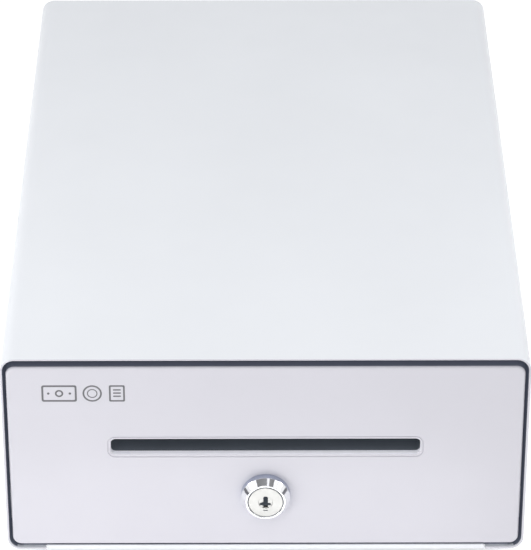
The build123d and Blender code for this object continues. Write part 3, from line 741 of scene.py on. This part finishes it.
def pan_head(bm, place, radius, height, axis, recess=True):
    """A domed screw head with its seat at place, its dome along the axis and a cross recess."""
    axis = Vector(axis).normalized()
    side = axis.orthogonal().normalized()
    other = axis.cross(side)
    place = Vector(place)
    arm, slim = radius * 0.52, radius * 0.14
    cross = [
        (arm, slim), (slim, slim), (slim, arm), (-slim, arm), (-slim, slim), (-arm, slim),
        (-arm, -slim), (-slim, -slim), (-slim, -arm), (slim, -arm), (slim, -slim), (arm, -slim),
    ]

    def ring(r, reach, steps=40):
        return [place + axis * reach + (side * x + other * y) for x, y in circle_outline(r, steps)]

    shape = [(1.0, 0.0), (1.0, 0.35), (0.93, 0.66), (0.78, 0.88), (0.62, 1.0)]
    rims = [ring(radius * across, height * up) for across, up in shape]
    made = skin(bm, rims, start_cap=True, end_cap=not recess)
    if recess:
        mouth = [place + axis * height + side * x + other * y for x, y in cross]
        floor = [place + axis * height * 0.35 + (side * x + other * y) * 0.8 for x, y in cross]
        cut = skin(bm, [mouth, floor], start_cap=False)
        fill_between(bm, [made[-1], cut[0]])


def hex_prism(bm, place, across_flats, reach, bore=0.0, chamfer=0.35 * MM):
    """A hexagon along y from place, chamfered at its corners, bored when bore is given."""
    corner_r = across_flats / math.sqrt(3)
    steps = 48

    def ring(limit, y):
        points = []
        for step in range(steps):
            angle = 2 * math.pi * step / steps
            wedge = (angle + math.pi / 6) % (math.pi / 3) - math.pi / 6
            r = min(across_flats / 2 / math.cos(wedge), limit)
            turn = angle + math.pi / 2
            points.append((place[0] + r * math.cos(turn), place[1] + y, place[2] + r * math.sin(turn)))
        return points

    tight = across_flats / 2 + 0.15 * MM
    rings = [ring(tight, 0.0), ring(corner_r, chamfer), ring(corner_r, reach - chamfer), ring(tight, reach)]
    if not bore:
        skin(bm, rings)
        return
    made = skin(bm, rings, start_cap=False, end_cap=False)
    bore_ring = circle_outline(bore, steps)
    hole_rings = [upright(bore_ring, place[0], place[1] + y, place[2]) for y in (0.0, reach)]
    hole = skin(bm, hole_rings, start_cap=False, end_cap=False)
    fill_between(bm, [made[0], hole[0]])
    fill_between(bm, [made[-1], hole[-1]])


def panel_with_holes(bm, outline, holes, stand, near, far):
    """A flat sheet between two planes: stand(points, plane) places an outline, holes are outlines too."""
    front = [add_ring(bm, stand(points, near)) for points in [outline] + holes]
    back = [add_ring(bm, stand(points, far)) for points in [outline] + holes]
    for first, second in zip(front, back):
        bridge(bm, first, second)
    fill_between(bm, front)
    fill_between(bm, back)


# ---------------------------------------------------------------- case hardware


def build_feet():
    """Four moulded rubber feet, tapered cups with a rounded tread and a screw well, and their screws."""
    low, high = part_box("rubber_feet")
    screw_low, screw_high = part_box("foot_screws")
    radius = (high[0] - 84 * MM)
    places = [(sx * 84 * MM, y) for sx in (-1, 1) for y in (low[1] + radius, high[1] - radius)]
    height = high[2] - low[2]
    bm = bmesh.new()
    for x, y in places:
        profile = [(3.0 * MM, height), (radius, height)]
        profile += [(radius, height - 1.2 * MM), (radius - 0.5 * MM, height * 0.45)]
        profile += arc((radius - 1.6 * MM, 1.0 * MM), 1.0 * MM, 0, -90, 5)
        profile += [(5.0 * MM, 0.0), (4.6 * MM, 0.5 * MM), (4.2 * MM, 1.6 * MM), (3.0 * MM, 1.6 * MM)]
        turned(bm, profile, (x, y, low[2]), "z", 56)
    finish_piece("feet", bm, "case", rubber, ["rubber_feet"], sharp=30)
    bm = bmesh.new()
    for x, y in places:
        pan_head(bm, (x, y, screw_low[2] + 1.6 * MM), 2.9 * MM, 1.5 * MM, (0, 0, -1))
        profile = [(0.01 * MM, 1.4 * MM)]
        reach = 1.4 * MM
        length = screw_high[2] - screw_low[2]
        while reach + 0.8 * MM < length - 0.4 * MM:
            profile += [(1.4 * MM, reach), (1.75 * MM, reach + 0.4 * MM)]
            reach += 0.8 * MM
        profile += [(1.4 * MM, reach), (0.9 * MM, length), (0.01 * MM, length)]
        turned(bm, profile, (x, y, screw_low[2]), "z", 20)
    finish_piece("foot_bolts", bm, "case", bright, ["foot_screws"], sharp=35)


def build_rear():
    """Rear panel: flat sheet with bent flanges, the socket cut-out and four screws."""
    low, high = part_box("rear_panel")
    socket_low, socket_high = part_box("modular_socket")
    screw_low, screw_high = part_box("rear_screws")
    sheet_y = high[1] - 1.0 * MM
    centre_z = (low[2] + high[2]) / 2
    half_w, half_h = (high[0] - low[0]) / 2, (high[2] - low[2]) / 2
    socket = middle_of(socket_low, socket_high)
    bm = bmesh.new()
    outline = rounded_outline(half_w, half_h, 6.0 * MM, 8)
    opening = shifted(rounded_outline(7.1 * MM, 6.0 * MM, 0.8 * MM, 4), socket[0], socket[2] - centre_z)

    def stand(points, y):
        return upright(points, 0, y, centre_z)

    panel_with_holes(bm, outline, [opening], stand, sheet_y, high[1])
    flange_y, joined_y = sheet_y - 12.0 * MM, sheet_y + 0.3 * MM
    clear = 8 * MM
    for side in (-1, 1):
        edge = side * (half_w - 0.6 * MM)
        start = (edge - 0.5 * MM, flange_y, low[2] + clear)
        end = (edge + 0.5 * MM, joined_y, high[2] - clear)
        soft_block(bm, start, end, 0.3 * MM)
    start = (-half_w + clear, flange_y, high[2] - 1.0 * MM)
    soft_block(bm, start, (half_w - clear, joined_y, high[2]), 0.3 * MM)
    finish_piece("rear_sheet", bm, "case", zinc, ["rear_panel"], sharp=30)
    bm = bmesh.new()
    for x in (screw_low[0] + 2.8 * MM, screw_high[0] - 2.8 * MM):
        for z in (screw_low[2] + 2.8 * MM, screw_high[2] - 2.8 * MM):
            pan_head(bm, (x, screw_low[1], z), 2.8 * MM, screw_high[1] - screw_low[1], (0, 1, 0))
    finish_piece("rear_bolts", bm, "case", bright, ["rear_screws"], sharp=35)


def build_socket():
    """Six-way modular socket: moulded shell with a stepped mouth, a latch notch and sprung contacts."""
    low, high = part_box("modular_socket")
    centre = middle_of(low, high)
    half_w, half_h = (high[0] - low[0]) / 2, (high[2] - low[2]) / 2
    mouth_w, mouth_h = 4.9 * MM, 3.4 * MM
    bm = bmesh.new()
    notch = [
        (-mouth_w, mouth_h), (-mouth_w, -mouth_h), (-3.0 * MM, -mouth_h), (-3.0 * MM, -mouth_h - 1.0 * MM),
        (3.0 * MM, -mouth_h - 1.0 * MM), (3.0 * MM, -mouth_h), (mouth_w, -mouth_h), (mouth_w, mouth_h),
    ]
    outline = rounded_outline(half_w, half_h, 0.7 * MM, 4)
    front = add_ring(bm, upright(outline, centre[0], high[1], centre[2]))
    eased = add_ring(bm, upright(outline, centre[0], high[1] - 0.3 * MM, centre[2]))
    bridge(bm, front, eased)
    back = add_ring(bm, upright(outline, centre[0], low[1], centre[2]))
    bridge(bm, eased, back)
    bm.faces.new(back)
    mouth = [(centre[0] + x, high[1], centre[2] + z) for x, z in notch]
    deep = [(centre[0] + x, high[1] - 10 * MM, centre[2] + z) for x, z in notch]
    cut = skin(bm, [mouth, deep], start_cap=False)
    fill_between(bm, [front, cut[0]])
    shell_faces = len(bm.faces)
    for i in range(6):
        x = centre[0] + (i - 2.5) * 1.27 * MM
        near, far = high[1] - 9.0 * MM, high[1] - 2.5 * MM
        z = centre[2] + mouth_h - 0.5 * MM
        half, under = 0.2 * MM, z - 0.3 * MM
        contact = [(x - half, far, z), (x + half, far, z), (x + half, far, under), (x - half, far, under)]
        tip = [(px, near, pz - 2.4 * MM) for px, _, pz in contact]
        skin(bm, [contact, tip])
    bm.faces.ensure_lookup_table()
    for face in bm.faces[shell_faces:]:
        face.material_index = 1
    finish_piece("jack", bm, "case", [black, brass], ["modular_socket"], sharp=30)


build_feet()
build_rear()
build_socket()


# ---------------------------------------------------------------- rails and rollers


def build_rollers():
    """Nylon rollers with a rounded tread, a recessed web and a hub, on riveted axle pins with a collar."""
    for end in ("front", "rear"):
        for side, word in ((-1, "left"), (1, "right")):
            node = f"{end}_roller_{word}"
            low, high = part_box(node)
            centre = middle_of(low, high)
            radius, half = (high[2] - low[2]) / 2, (high[0] - low[0]) / 2
            bore = 2.56 * MM
            bm = bmesh.new()
            web = [(4.1, 0.0), (4.3, 0.2), (4.5, 0.9), (6.5, 0.9), (6.7, 0.2), (6.9, 0.0), (7.4, 0.0)]
            profile = [(bore, -half)] + [(r * MM, -half + deep * MM) for r, deep in web]
            profile += arc((radius - 0.6 * MM, -half + 0.6 * MM), 0.6 * MM, -90, 0, 4)
            profile += arc((radius - 0.6 * MM, half - 0.6 * MM), 0.6 * MM, 0, 90, 4)
            profile += [(r * MM, half - deep * MM) for r, deep in reversed(web)] + [(bore, half)]
            turned(bm, profile, centre, "x", 64)
            finish_piece(f"wheel_{end}_{word}", bm, node, nylon, [node], sharp=28)
            axle = f"{end}_axle_{word}"
            low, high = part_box(axle)
            pin_r, head_r = 2.5 * MM, (high[2] - low[2]) / 2
            centre = middle_of(low, high)
            mirror = 1 if side > 0 else -1
            head_out = end == "rear"
            bm = bmesh.new()
            reach = (high[0] - low[0])
            head = 0.8 * MM
            step_r, step_at = pin_r - 0.55 * MM, reach - 2.2 * MM
            outline = [
                (0.01 * MM, 0.0), (head_r - 0.25 * MM, 0.0), (head_r, 0.2 * MM), (head_r, head - 0.15 * MM),
                (head_r - 0.2 * MM, head), (pin_r, head), (pin_r, step_at), (step_r, step_at),
                (step_r, reach - 0.2 * MM), (pin_r - 0.75 * MM, reach), (0.01 * MM, reach),
            ]
            start = (high[0] if side > 0 else low[0]) if head_out else (low[0] if side > 0 else high[0])
            way = -mirror if head_out else mirror
            turned(bm, [(r, way * d) for r, d in outline], (start, centre[1], centre[2]), "x", 40)
            body = "case" if end == "front" else "drawer"
            finish_piece(f"pin_{end}_{word}", bm, body, bright, [axle], sharp=30)


build_rollers()


# ---------------------------------------------------------------- drawer pan


def build_walls():
    """Drawer sides with a rolled hem along the top, and a plain back wall."""
    for side, word in ((-1, "left"), (1, "right")):
        node = f"drawer_side_{word}"
        low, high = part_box(node)
        inner = side * 105.0 * MM
        outer = side * 106.0 * MM
        hem = side * 107.0 * MM
        bm = bmesh.new()
        near, far = sorted((inner, outer))
        soft_block(bm, (near, low[1], low[2]), (far, high[1], high[2] - 0.5 * MM), 0.15 * MM)
        roll = [(inner + side * 0.02 * MM, high[2] - 0.9 * MM)]
        centre = ((inner + hem) / 2, high[2] - 1.0 * MM)
        roll += [(centre[0] - side * 0.98 * MM * math.cos(a), centre[1] + 0.98 * MM * math.sin(a))
                 for a in [math.pi * i / 10 for i in range(11)]]
        hem_end = high[2] - 7.9 * MM
        roll += [(hem, hem_end), (hem - side * 0.3 * MM, high[2] - 8.0 * MM), (outer, hem_end)]
        roll += [(outer, high[2] - 1.2 * MM)]
        stations = [low[1] + 4 * MM, low[1] + 4.2 * MM, high[1] - 4.2 * MM, high[1] - 4 * MM]
        skin(bm, [[(x, y, z) for x, z in roll] for y in stations])
        finish_piece(f"pan_side_{word}", bm, "drawer", zinc, [node], sharp=35)
    bm = bmesh.new()
    low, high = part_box("drawer_back_wall")
    soft_block(bm, low, high, 0.2 * MM, 2)
    finish_piece("pan_back", bm, "drawer", zinc, ["drawer_back_wall"], sharp=35)


build_walls()


# ---------------------------------------------------------------- till


def open_box(bm, low, high, wall, floor, rim=0.5 * MM, corner=2.0 * MM, draft=0.4 * MM):
    """A moulded open-topped box with rounded corners, drafted walls, a rounded rim and a radiused floor."""
    centre = middle_of(low, high)
    half_x, half_y = (high[0] - low[0]) / 2, (high[1] - low[1]) / 2

    def ring(inset, z, radius):
        outline = rounded_outline(half_x - inset, half_y - inset, max(radius, 0.2 * MM), 6)
        return level(outline, centre[0], centre[1], z)

    rings = [ring(draft + 0.6 * MM, low[2], corner), ring(draft, low[2] + 0.6 * MM, corner)]
    rings.append(ring(0.0, high[2] - rim, corner))
    for step in range(1, 5):
        angle = math.pi * step / 5
        inset = wall / 2 - wall / 2 * math.cos(angle)
        rings.append(ring(inset, high[2] - rim + rim * math.sin(angle), corner - wall / 2))
    rings.append(ring(wall, high[2] - rim, corner - wall * 0.5))
    inner_low = low[2] + floor
    rings.append(ring(wall + draft, inner_low + 2.0 * MM, corner - wall * 0.5))
    rings.append(ring(wall + draft + 0.6 * MM, inner_low + 0.6 * MM, corner))
    rings.append(ring(wall + draft + 2.0 * MM, inner_low, corner))
    skin(bm, rings)


def build_till():
    """The moulded till, its two bill dividers and five scooped coin cups."""
    low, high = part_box("till_body")
    cup_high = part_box("coin_cup_1")[1]
    wall = 1.8 * MM
    step_y = cup_high[1] + 0.4 * MM
    bm = bmesh.new()
    open_box(bm, (low[0], low[1], low[2]), (high[0], step_y + wall, high[2]), wall, wall)
    open_box(bm, (low[0], step_y + 0.02 * MM, low[2]), high, wall, wall)
    finish_piece("till_shell", bm, "drawer", black, ["till_body"], sharp=35)
    for index in (1, 2):
        node = f"bill_divider_{index}"
        low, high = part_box(node)
        bm = bmesh.new()
        middle_x = (low[0] + high[0]) / 2
        half = (high[0] - low[0]) / 2
        outline = [(-half, low[2]), (-half * 0.82, high[2] - 0.8 * MM)]
        outline += [(-0.82 * half * math.cos(a), high[2] - 0.8 * MM + 0.8 * MM * math.sin(a)) for a in
                    [math.pi * i / 8 for i in range(1, 8)]]
        outline += [(half * 0.82, high[2] - 0.8 * MM), (half, low[2])]
        stations = [low[1], low[1] + 0.4 * MM, high[1] - 0.4 * MM, high[1]]
        skin(bm, [[(middle_x + x, y, z) for x, z in outline] for y in stations])
        finish_piece(f"divider_{index}", bm, "drawer", black, [node], sharp=35)
    for index in range(1, 6):
        node = f"coin_cup_{index}"
        low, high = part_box(node)
        bm = bmesh.new()
        inner = 1.4 * MM
        scoop = 26.0 * MM
        bottom = low[2] + 1.6 * MM
        cx, cy = (low[0] + high[0]) / 2, (low[1] + high[1]) / 2
        hx, hy = (high[0] - low[0]) / 2, (high[1] - low[1]) / 2

        def cup_ring(inset, z, radius):
            return level(rounded_outline(hx - inset, hy - inset, radius, 6), cx, cy, z)

        rings = [cup_ring(1.0 * MM, low[2], 2.4 * MM), cup_ring(0.3 * MM, low[2] + 0.8 * MM, 2.6 * MM)]
        rings.append(cup_ring(0.0, high[2] - 0.6 * MM, 2.6 * MM))
        for step in range(1, 5):
            angle = math.pi * step / 5
            inset = inner / 2 - inner / 2 * math.cos(angle)
            rings.append(cup_ring(inset, high[2] - 0.6 * MM + 0.6 * MM * math.sin(angle), 2.2 * MM))
        rings.append(cup_ring(inner, high[2] - 0.6 * MM, 2.0 * MM))
        wall_ring = rings[-1]
        steps_down = 14
        for step in range(1, steps_down + 1):
            share = step / steps_down
            drop = (high[2] - 0.6 * MM - bottom) * share
            z = high[2] - 0.6 * MM - drop
            front_in = 0.0
            if z < bottom + scoop:
                rise = bottom + scoop - z
                front_in = scoop - math.sqrt(max(0.0, scoop * scoop - min(rise, scoop * 0.999) ** 2))
            ring = []
            for x, y, _ in wall_ring:
                front_y = low[1] + inner
                back_y = high[1] - inner
                moved = back_y - (back_y - y) * (back_y - front_y - front_in) / (back_y - front_y)
                edge = 0.35 * MM * share
                ring.append((cx + (x - cx) * (1 - edge / hx), moved, z))
            rings.append(ring)
        skin(bm, rings)
        finish_piece(f"cup_{index}", bm, "drawer", black, [node], sharp=40)


build_till()


# ---------------------------------------------------------------- springs and solenoid


def build_springs():
    """Real helical springs for the ejector, the latch and the three bill clips."""
    low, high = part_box("ejector_spring")
    centre = middle_of(low, high)
    wire = 0.6 * MM
    bm = bmesh.new()
    radius = (high[0] - low[0]) / 2 - wire
    start, end = (centre[0], low[1] + wire, centre[2]), (centre[0], high[1] - wire, centre[2])
    helix(bm, radius, wire, 9.5, start, end)
    finish_piece("push_spring", bm, "case", spring_wire, ["ejector_spring"], sharp=60)
    low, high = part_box("latch_spring")
    centre = middle_of(low, high)
    wire = 0.35 * MM
    radius = (high[0] - low[0]) / 2 - wire
    bm = bmesh.new()
    start, end = (centre[0], centre[1], low[2] + wire), (centre[0], centre[1], high[2] - wire)
    helix(bm, radius, wire, 13, start, end, 24)
    finish_piece("return_spring", bm, "case", spring_wire, ["latch_spring"], sharp=60)
    bm = bmesh.new()
    low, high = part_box("clip_springs")
    rod_low, rod_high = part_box("clip_rod")
    rod = middle_of(rod_low, rod_high)
    wire = 0.5 * MM
    radius = (high[2] - low[2]) / 2 - wire
    pitch = (206.0 - 1.8) / 3 * MM
    for index in range(3):
        x = -103.0 * MM + 0.9 * MM + (index + 0.5) * pitch + 6.6 * MM
        helix(bm, radius, wire, 7.4, (x, rod[1], rod[2]), (x + 8.05 * MM, rod[1], rod[2]), 24)
    finish_piece("torsion_springs", bm, "drawer", spring_wire, ["clip_springs"], sharp=60)


def build_coil():
    """Solenoid bobbin with end flanges and a wound coil of enamelled wire."""
    low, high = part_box("solenoid_coil")
    plunger_low, plunger_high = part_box("solenoid_plunger")
    axis_x, axis_y = 0.0, (plunger_low[1] + plunger_high[1]) / 2
    bore = 3.1 * MM
    flange_t = 1.2 * MM
    bm = bmesh.new()
    flange_half_y = (high[1] - low[1]) / 2
    flange_y = (high[1] + low[1]) / 2
    outline = rounded_outline((high[0] - low[0]) / 2, flange_half_y, 1.5 * MM, 5)
    hole = shifted(circle_outline(bore, 32), 0, axis_y - flange_y)

    def lie(points, z):
        return level(points, axis_x, flange_y, z)

    for z in (low[2], high[2] - flange_t):
        panel_with_holes(bm, outline, [hole], lie, z, z + flange_t)
    flange_faces = len(bm.faces)
    wire = 0.34 * MM
    coil_r = 6.3 * MM
    profile = [(bore, low[2] + flange_t), (coil_r - wire, low[2] + flange_t)]
    reach = low[2] + flange_t + wire
    while reach + wire < high[2] - flange_t:
        flank = coil_r - wire * 0.4
        profile += [(flank, reach - wire * 0.6), (coil_r, reach), (flank, reach + wire * 0.6)]
        reach += 2 * wire
    profile += [(coil_r - wire, high[2] - flange_t), (bore, high[2] - flange_t)]
    turned(bm, profile, (axis_x, axis_y - 0.3 * MM, 0.0), "z", 40)
    bm.faces.ensure_lookup_table()
    for face in bm.faces[:flange_faces]:
        face.material_index = 1
    finish_piece("winding", bm, "case", [copper, black], ["solenoid_coil"], sharp=30)


build_springs()
build_coil()


# ---------------------------------------------------------------- lock hardware


def build_nut():
    """Chamfered hexagon nut behind the panel and the small one that holds the cam."""
    low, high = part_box("lock_nut")
    bm = bmesh.new()
    flats, reach = high[2] - low[2], high[1] - low[1]
    hex_prism(bm, (0.0, low[1], lock_z), flats, reach, bore=9.02 * MM, chamfer=0.5 * MM)
    finish_piece("back_nut", bm, "drawer", bright, ["lock_nut"], sharp=28)
    low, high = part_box("cam_screw")
    bm = bmesh.new()
    hex_prism(bm, (0.0, low[1], lock_z), high[2] - low[2], high[1] - low[1], chamfer=0.3 * MM)
    finish_piece("cam_bolt", bm, "lock", bright, ["cam_screw"], sharp=28)


build_nut()


# ---------------------------------------------------------------- materials of the carried-over nodes

dress = {
    zinc: [
        "case_rail_left", "case_rail_right", "drawer_rail_left", "drawer_rail_right", "drawer_floor",
        "drawer_front_wall", "panel_mounts", "lock_catch", "latch_bracket", "latch_lever", "striker",
        "solenoid_frame", "solenoid_plunger",
    ],
    bright: ["latch_pin", "clip_rod", "panel_screws", "ejector_rod", "lock_cam"],
    spring_wire: ["switch_blade"],
    liner_paint: ["slot_liner"],
    black: ["bill_clip_1", "bill_clip_2", "bill_clip_3", "microswitch"],
}
for material, names in dress.items():
    for name in names:
        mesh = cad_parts[name].data
        mesh.materials.clear()
        mesh.materials.append(material)


# ---------------------------------------------------------------- floor, light and camera


HORIZON_LIGHT = 0.10
ZENITH_LIGHT = 1.045
OPEN_SKY = 1.35
FLAG_STOPS = [
    (0.20, OPEN_SKY), (0.22, 0.26), (0.545, 0.32), (0.56, 1.1),
    (0.62, 1.1), (0.64, 0.30), (0.77, 0.26), (0.79, OPEN_SKY),
]


def build_floor():
    """A large pale sweep that curves up far behind the object."""
    bm = bmesh.new()
    half, near, far, rise = 6.0, -6.0, 4.0, 2.5
    profile = [(near, 0.0), (far, 0.0)]
    profile += arc((far, rise), rise, -90, 0, 16)[1:]
    rows = [[bm.verts.new((x, y, z)) for x in (-half, half)] for y, z in profile]
    for first, second in zip(rows, rows[1:]):
        bm.faces.new((first[0], first[1], second[1], second[0]))
    mesh = bpy.data.meshes.new("floor_sweep")
    bm.to_mesh(mesh)
    bm.free()
    mesh.shade_smooth()
    floor = bpy.data.objects.new("floor_sweep", mesh)
    scene.collection.objects.link(floor)
    paper = Shader("pale_paper", (0.92, 0.92, 0.92), 0.9)
    paper.tint(paper.noise(3.0), [(0.3, (0.91, 0.91, 0.91)), (0.7, (0.93, 0.93, 0.93))])
    paper.surface.inputs["Emission Color"].default_value = (1, 1, 1, 1)
    paper.surface.inputs["Emission Strength"].default_value = 0.30
    mesh.materials.append(paper.material)


def build_world():
    """Room light: bright overhead, weaker at the horizon, with two dark flags that only gloss shows."""
    world = bpy.data.worlds.new("studio")
    scene.world = world
    world.use_nodes = True
    nodes, links = world.node_tree.nodes, world.node_tree.links
    output = nodes["World Output"]
    room = nodes["Background"]
    direction = nodes.new("ShaderNodeTexCoord").outputs["Generated"]
    split = nodes.new("ShaderNodeSeparateXYZ")
    links.new(direction, split.inputs["Vector"])
    height = nodes.new("ShaderNodeMapRange")
    height.inputs["From Min"].default_value = 0.0
    height.inputs["From Max"].default_value = 1.0
    height.inputs["To Min"].default_value = HORIZON_LIGHT
    height.inputs["To Max"].default_value = ZENITH_LIGHT
    links.new(split.outputs["Z"], height.inputs["Value"])
    links.new(height.outputs["Result"], room.inputs["Strength"])
    room.inputs["Color"].default_value = (0.985, 0.99, 1.0, 1)
    mirror = nodes.new("ShaderNodeBackground")
    pattern = nodes.new("ShaderNodeValToRGB")
    pattern.color_ramp.interpolation = "EASE"
    stops = pattern.color_ramp.elements
    for stop, position in zip(stops, (0.0, 1.0)):
        stop.position = position
        stop.color = (OPEN_SKY, OPEN_SKY, OPEN_SKY, 1)
    for position, value in FLAG_STOPS:
        stops.new(position).color = (value, value, value * 1.03, 1)
    sideways = nodes.new("ShaderNodeMapRange")
    sideways.inputs["From Min"].default_value = -1.0
    sideways.inputs["From Max"].default_value = 1.0
    links.new(split.outputs["X"], sideways.inputs["Value"])
    links.new(sideways.outputs["Result"], pattern.inputs["Fac"])
    overhead = nodes.new("ShaderNodeMapRange")
    overhead.inputs["From Min"].default_value = 0.62
    overhead.inputs["From Max"].default_value = 0.72
    links.new(split.outputs["Z"], overhead.inputs["Value"])
    flags = nodes.new("ShaderNodeMix")
    flags.data_type = "RGBA"
    flags.inputs["A"].default_value = (1, 1, 1, 1)
    links.new(overhead.outputs["Result"], flags.inputs["Factor"])
    links.new(pattern.outputs["Color"], flags.inputs["B"])
    links.new(flags.outputs["Result"], mirror.inputs["Color"])
    mirror.inputs["Strength"].default_value = 1.0
    ray = nodes.new("ShaderNodeLightPath")
    choose = nodes.new("ShaderNodeMixShader")
    links.new(ray.outputs["Is Glossy Ray"], choose.inputs["Fac"])
    links.new(room.outputs["Background"], choose.inputs[1])
    links.new(mirror.outputs["Background"], choose.inputs[2])
    backdrop = nodes.new("ShaderNodeBackground")
    backdrop.inputs["Color"].default_value = (1, 1, 1, 1)
    seen = nodes.new("ShaderNodeMixShader")
    links.new(ray.outputs["Is Camera Ray"], seen.inputs["Fac"])
    links.new(choose.outputs["Shader"], seen.inputs[1])
    links.new(backdrop.outputs["Background"], seen.inputs[2])
    links.new(seen.outputs["Shader"], output.inputs["Surface"])


def add_lamp(name, place, aim, size, power, colour=(1, 1, 1)):
    """A soft box at a place, turned to a point."""
    data = bpy.data.lights.new(name, "AREA")
    data.shape = "RECTANGLE"
    data.size, data.size_y = size
    data.energy = power
    data.color = colour
    lamp = bpy.data.objects.new(name, data)
    scene.collection.objects.link(lamp)
    lamp.location = place
    lamp.visible_camera = False
    lamp.rotation_euler = (Vector(aim) - Vector(place)).to_track_quat("-Z", "Y").to_euler()


def build_card(name, side):
    """A low black card beside the object that only polished metal reflects."""
    bm = bmesh.new()
    x, height = side * 0.36, 0.085
    soft_block(bm, (x - 0.004, -0.60, 0.0), (x + 0.004, 0.30, height), 0.001)
    mesh = bpy.data.meshes.new(name)
    bm.to_mesh(mesh)
    bm.free()
    card = bpy.data.objects.new(name, mesh)
    scene.collection.objects.link(card)
    mesh.materials.append(card_black)
    card.visible_camera = False
    card.visible_diffuse = False
    card.visible_shadow = False


def build_camera():
    """A long lens, level across, looking down at the case from the front."""
    aim = Vector((0.23 * MM, FRONT + 74.1 * MM, BOTTOM + 104.6 * MM))
    distance = 1572.2 * MM
    elevation, azimuth = math.radians(30.912), math.radians(0.196)
    ahead = Vector((
        math.sin(azimuth) * math.cos(elevation),
        math.cos(azimuth) * math.cos(elevation),
        -math.sin(elevation),
    ))
    data = bpy.data.cameras.new("camera")
    data.sensor_width = 36.0
    data.lens = 219.38
    data.clip_start = 0.05
    data.clip_end = 50.0
    camera = bpy.data.objects.new("camera", data)
    scene.collection.objects.link(camera)
    camera.location = aim - ahead * distance
    camera.rotation_euler = ahead.to_track_quat("-Z", "Y").to_euler()
    scene.camera = camera


build_floor()
build_world()
build_camera()
COOL_WHITE = (0.98, 0.98, 1.0)
SIDE_SIZE = (0.16, 0.20)
add_lamp("key_box", (-0.25, -0.90, 1.00), (0.0, -0.05, 0.08), (0.7, 0.5), 2.90)
for word, side, power in (("left", -1, 0.88), ("right", 1, 0.83)):
    add_lamp(f"{word}_box", (side * 0.56, -0.21, 0.38), (side * 0.12, -0.12, 0.10), SIDE_SIZE, power)
add_lamp("low_left", (-0.42, -0.62, 0.04), (-0.10, FRONT, 0.02), (0.34, 0.05), 0.58, COOL_WHITE)
STRIP_X = -0.02
STRIP_AT, STRIP_AIM = (STRIP_X, FRONT - 0.05, 0.010), (STRIP_X, FRONT, 0.020)
add_lamp("floor_strip", STRIP_AT, STRIP_AIM, (0.25, 0.006), 0.010, COOL_WHITE)
build_card("left_card", -1)
build_card("right_card", 1)
scene.view_settings.view_transform = "Standard"
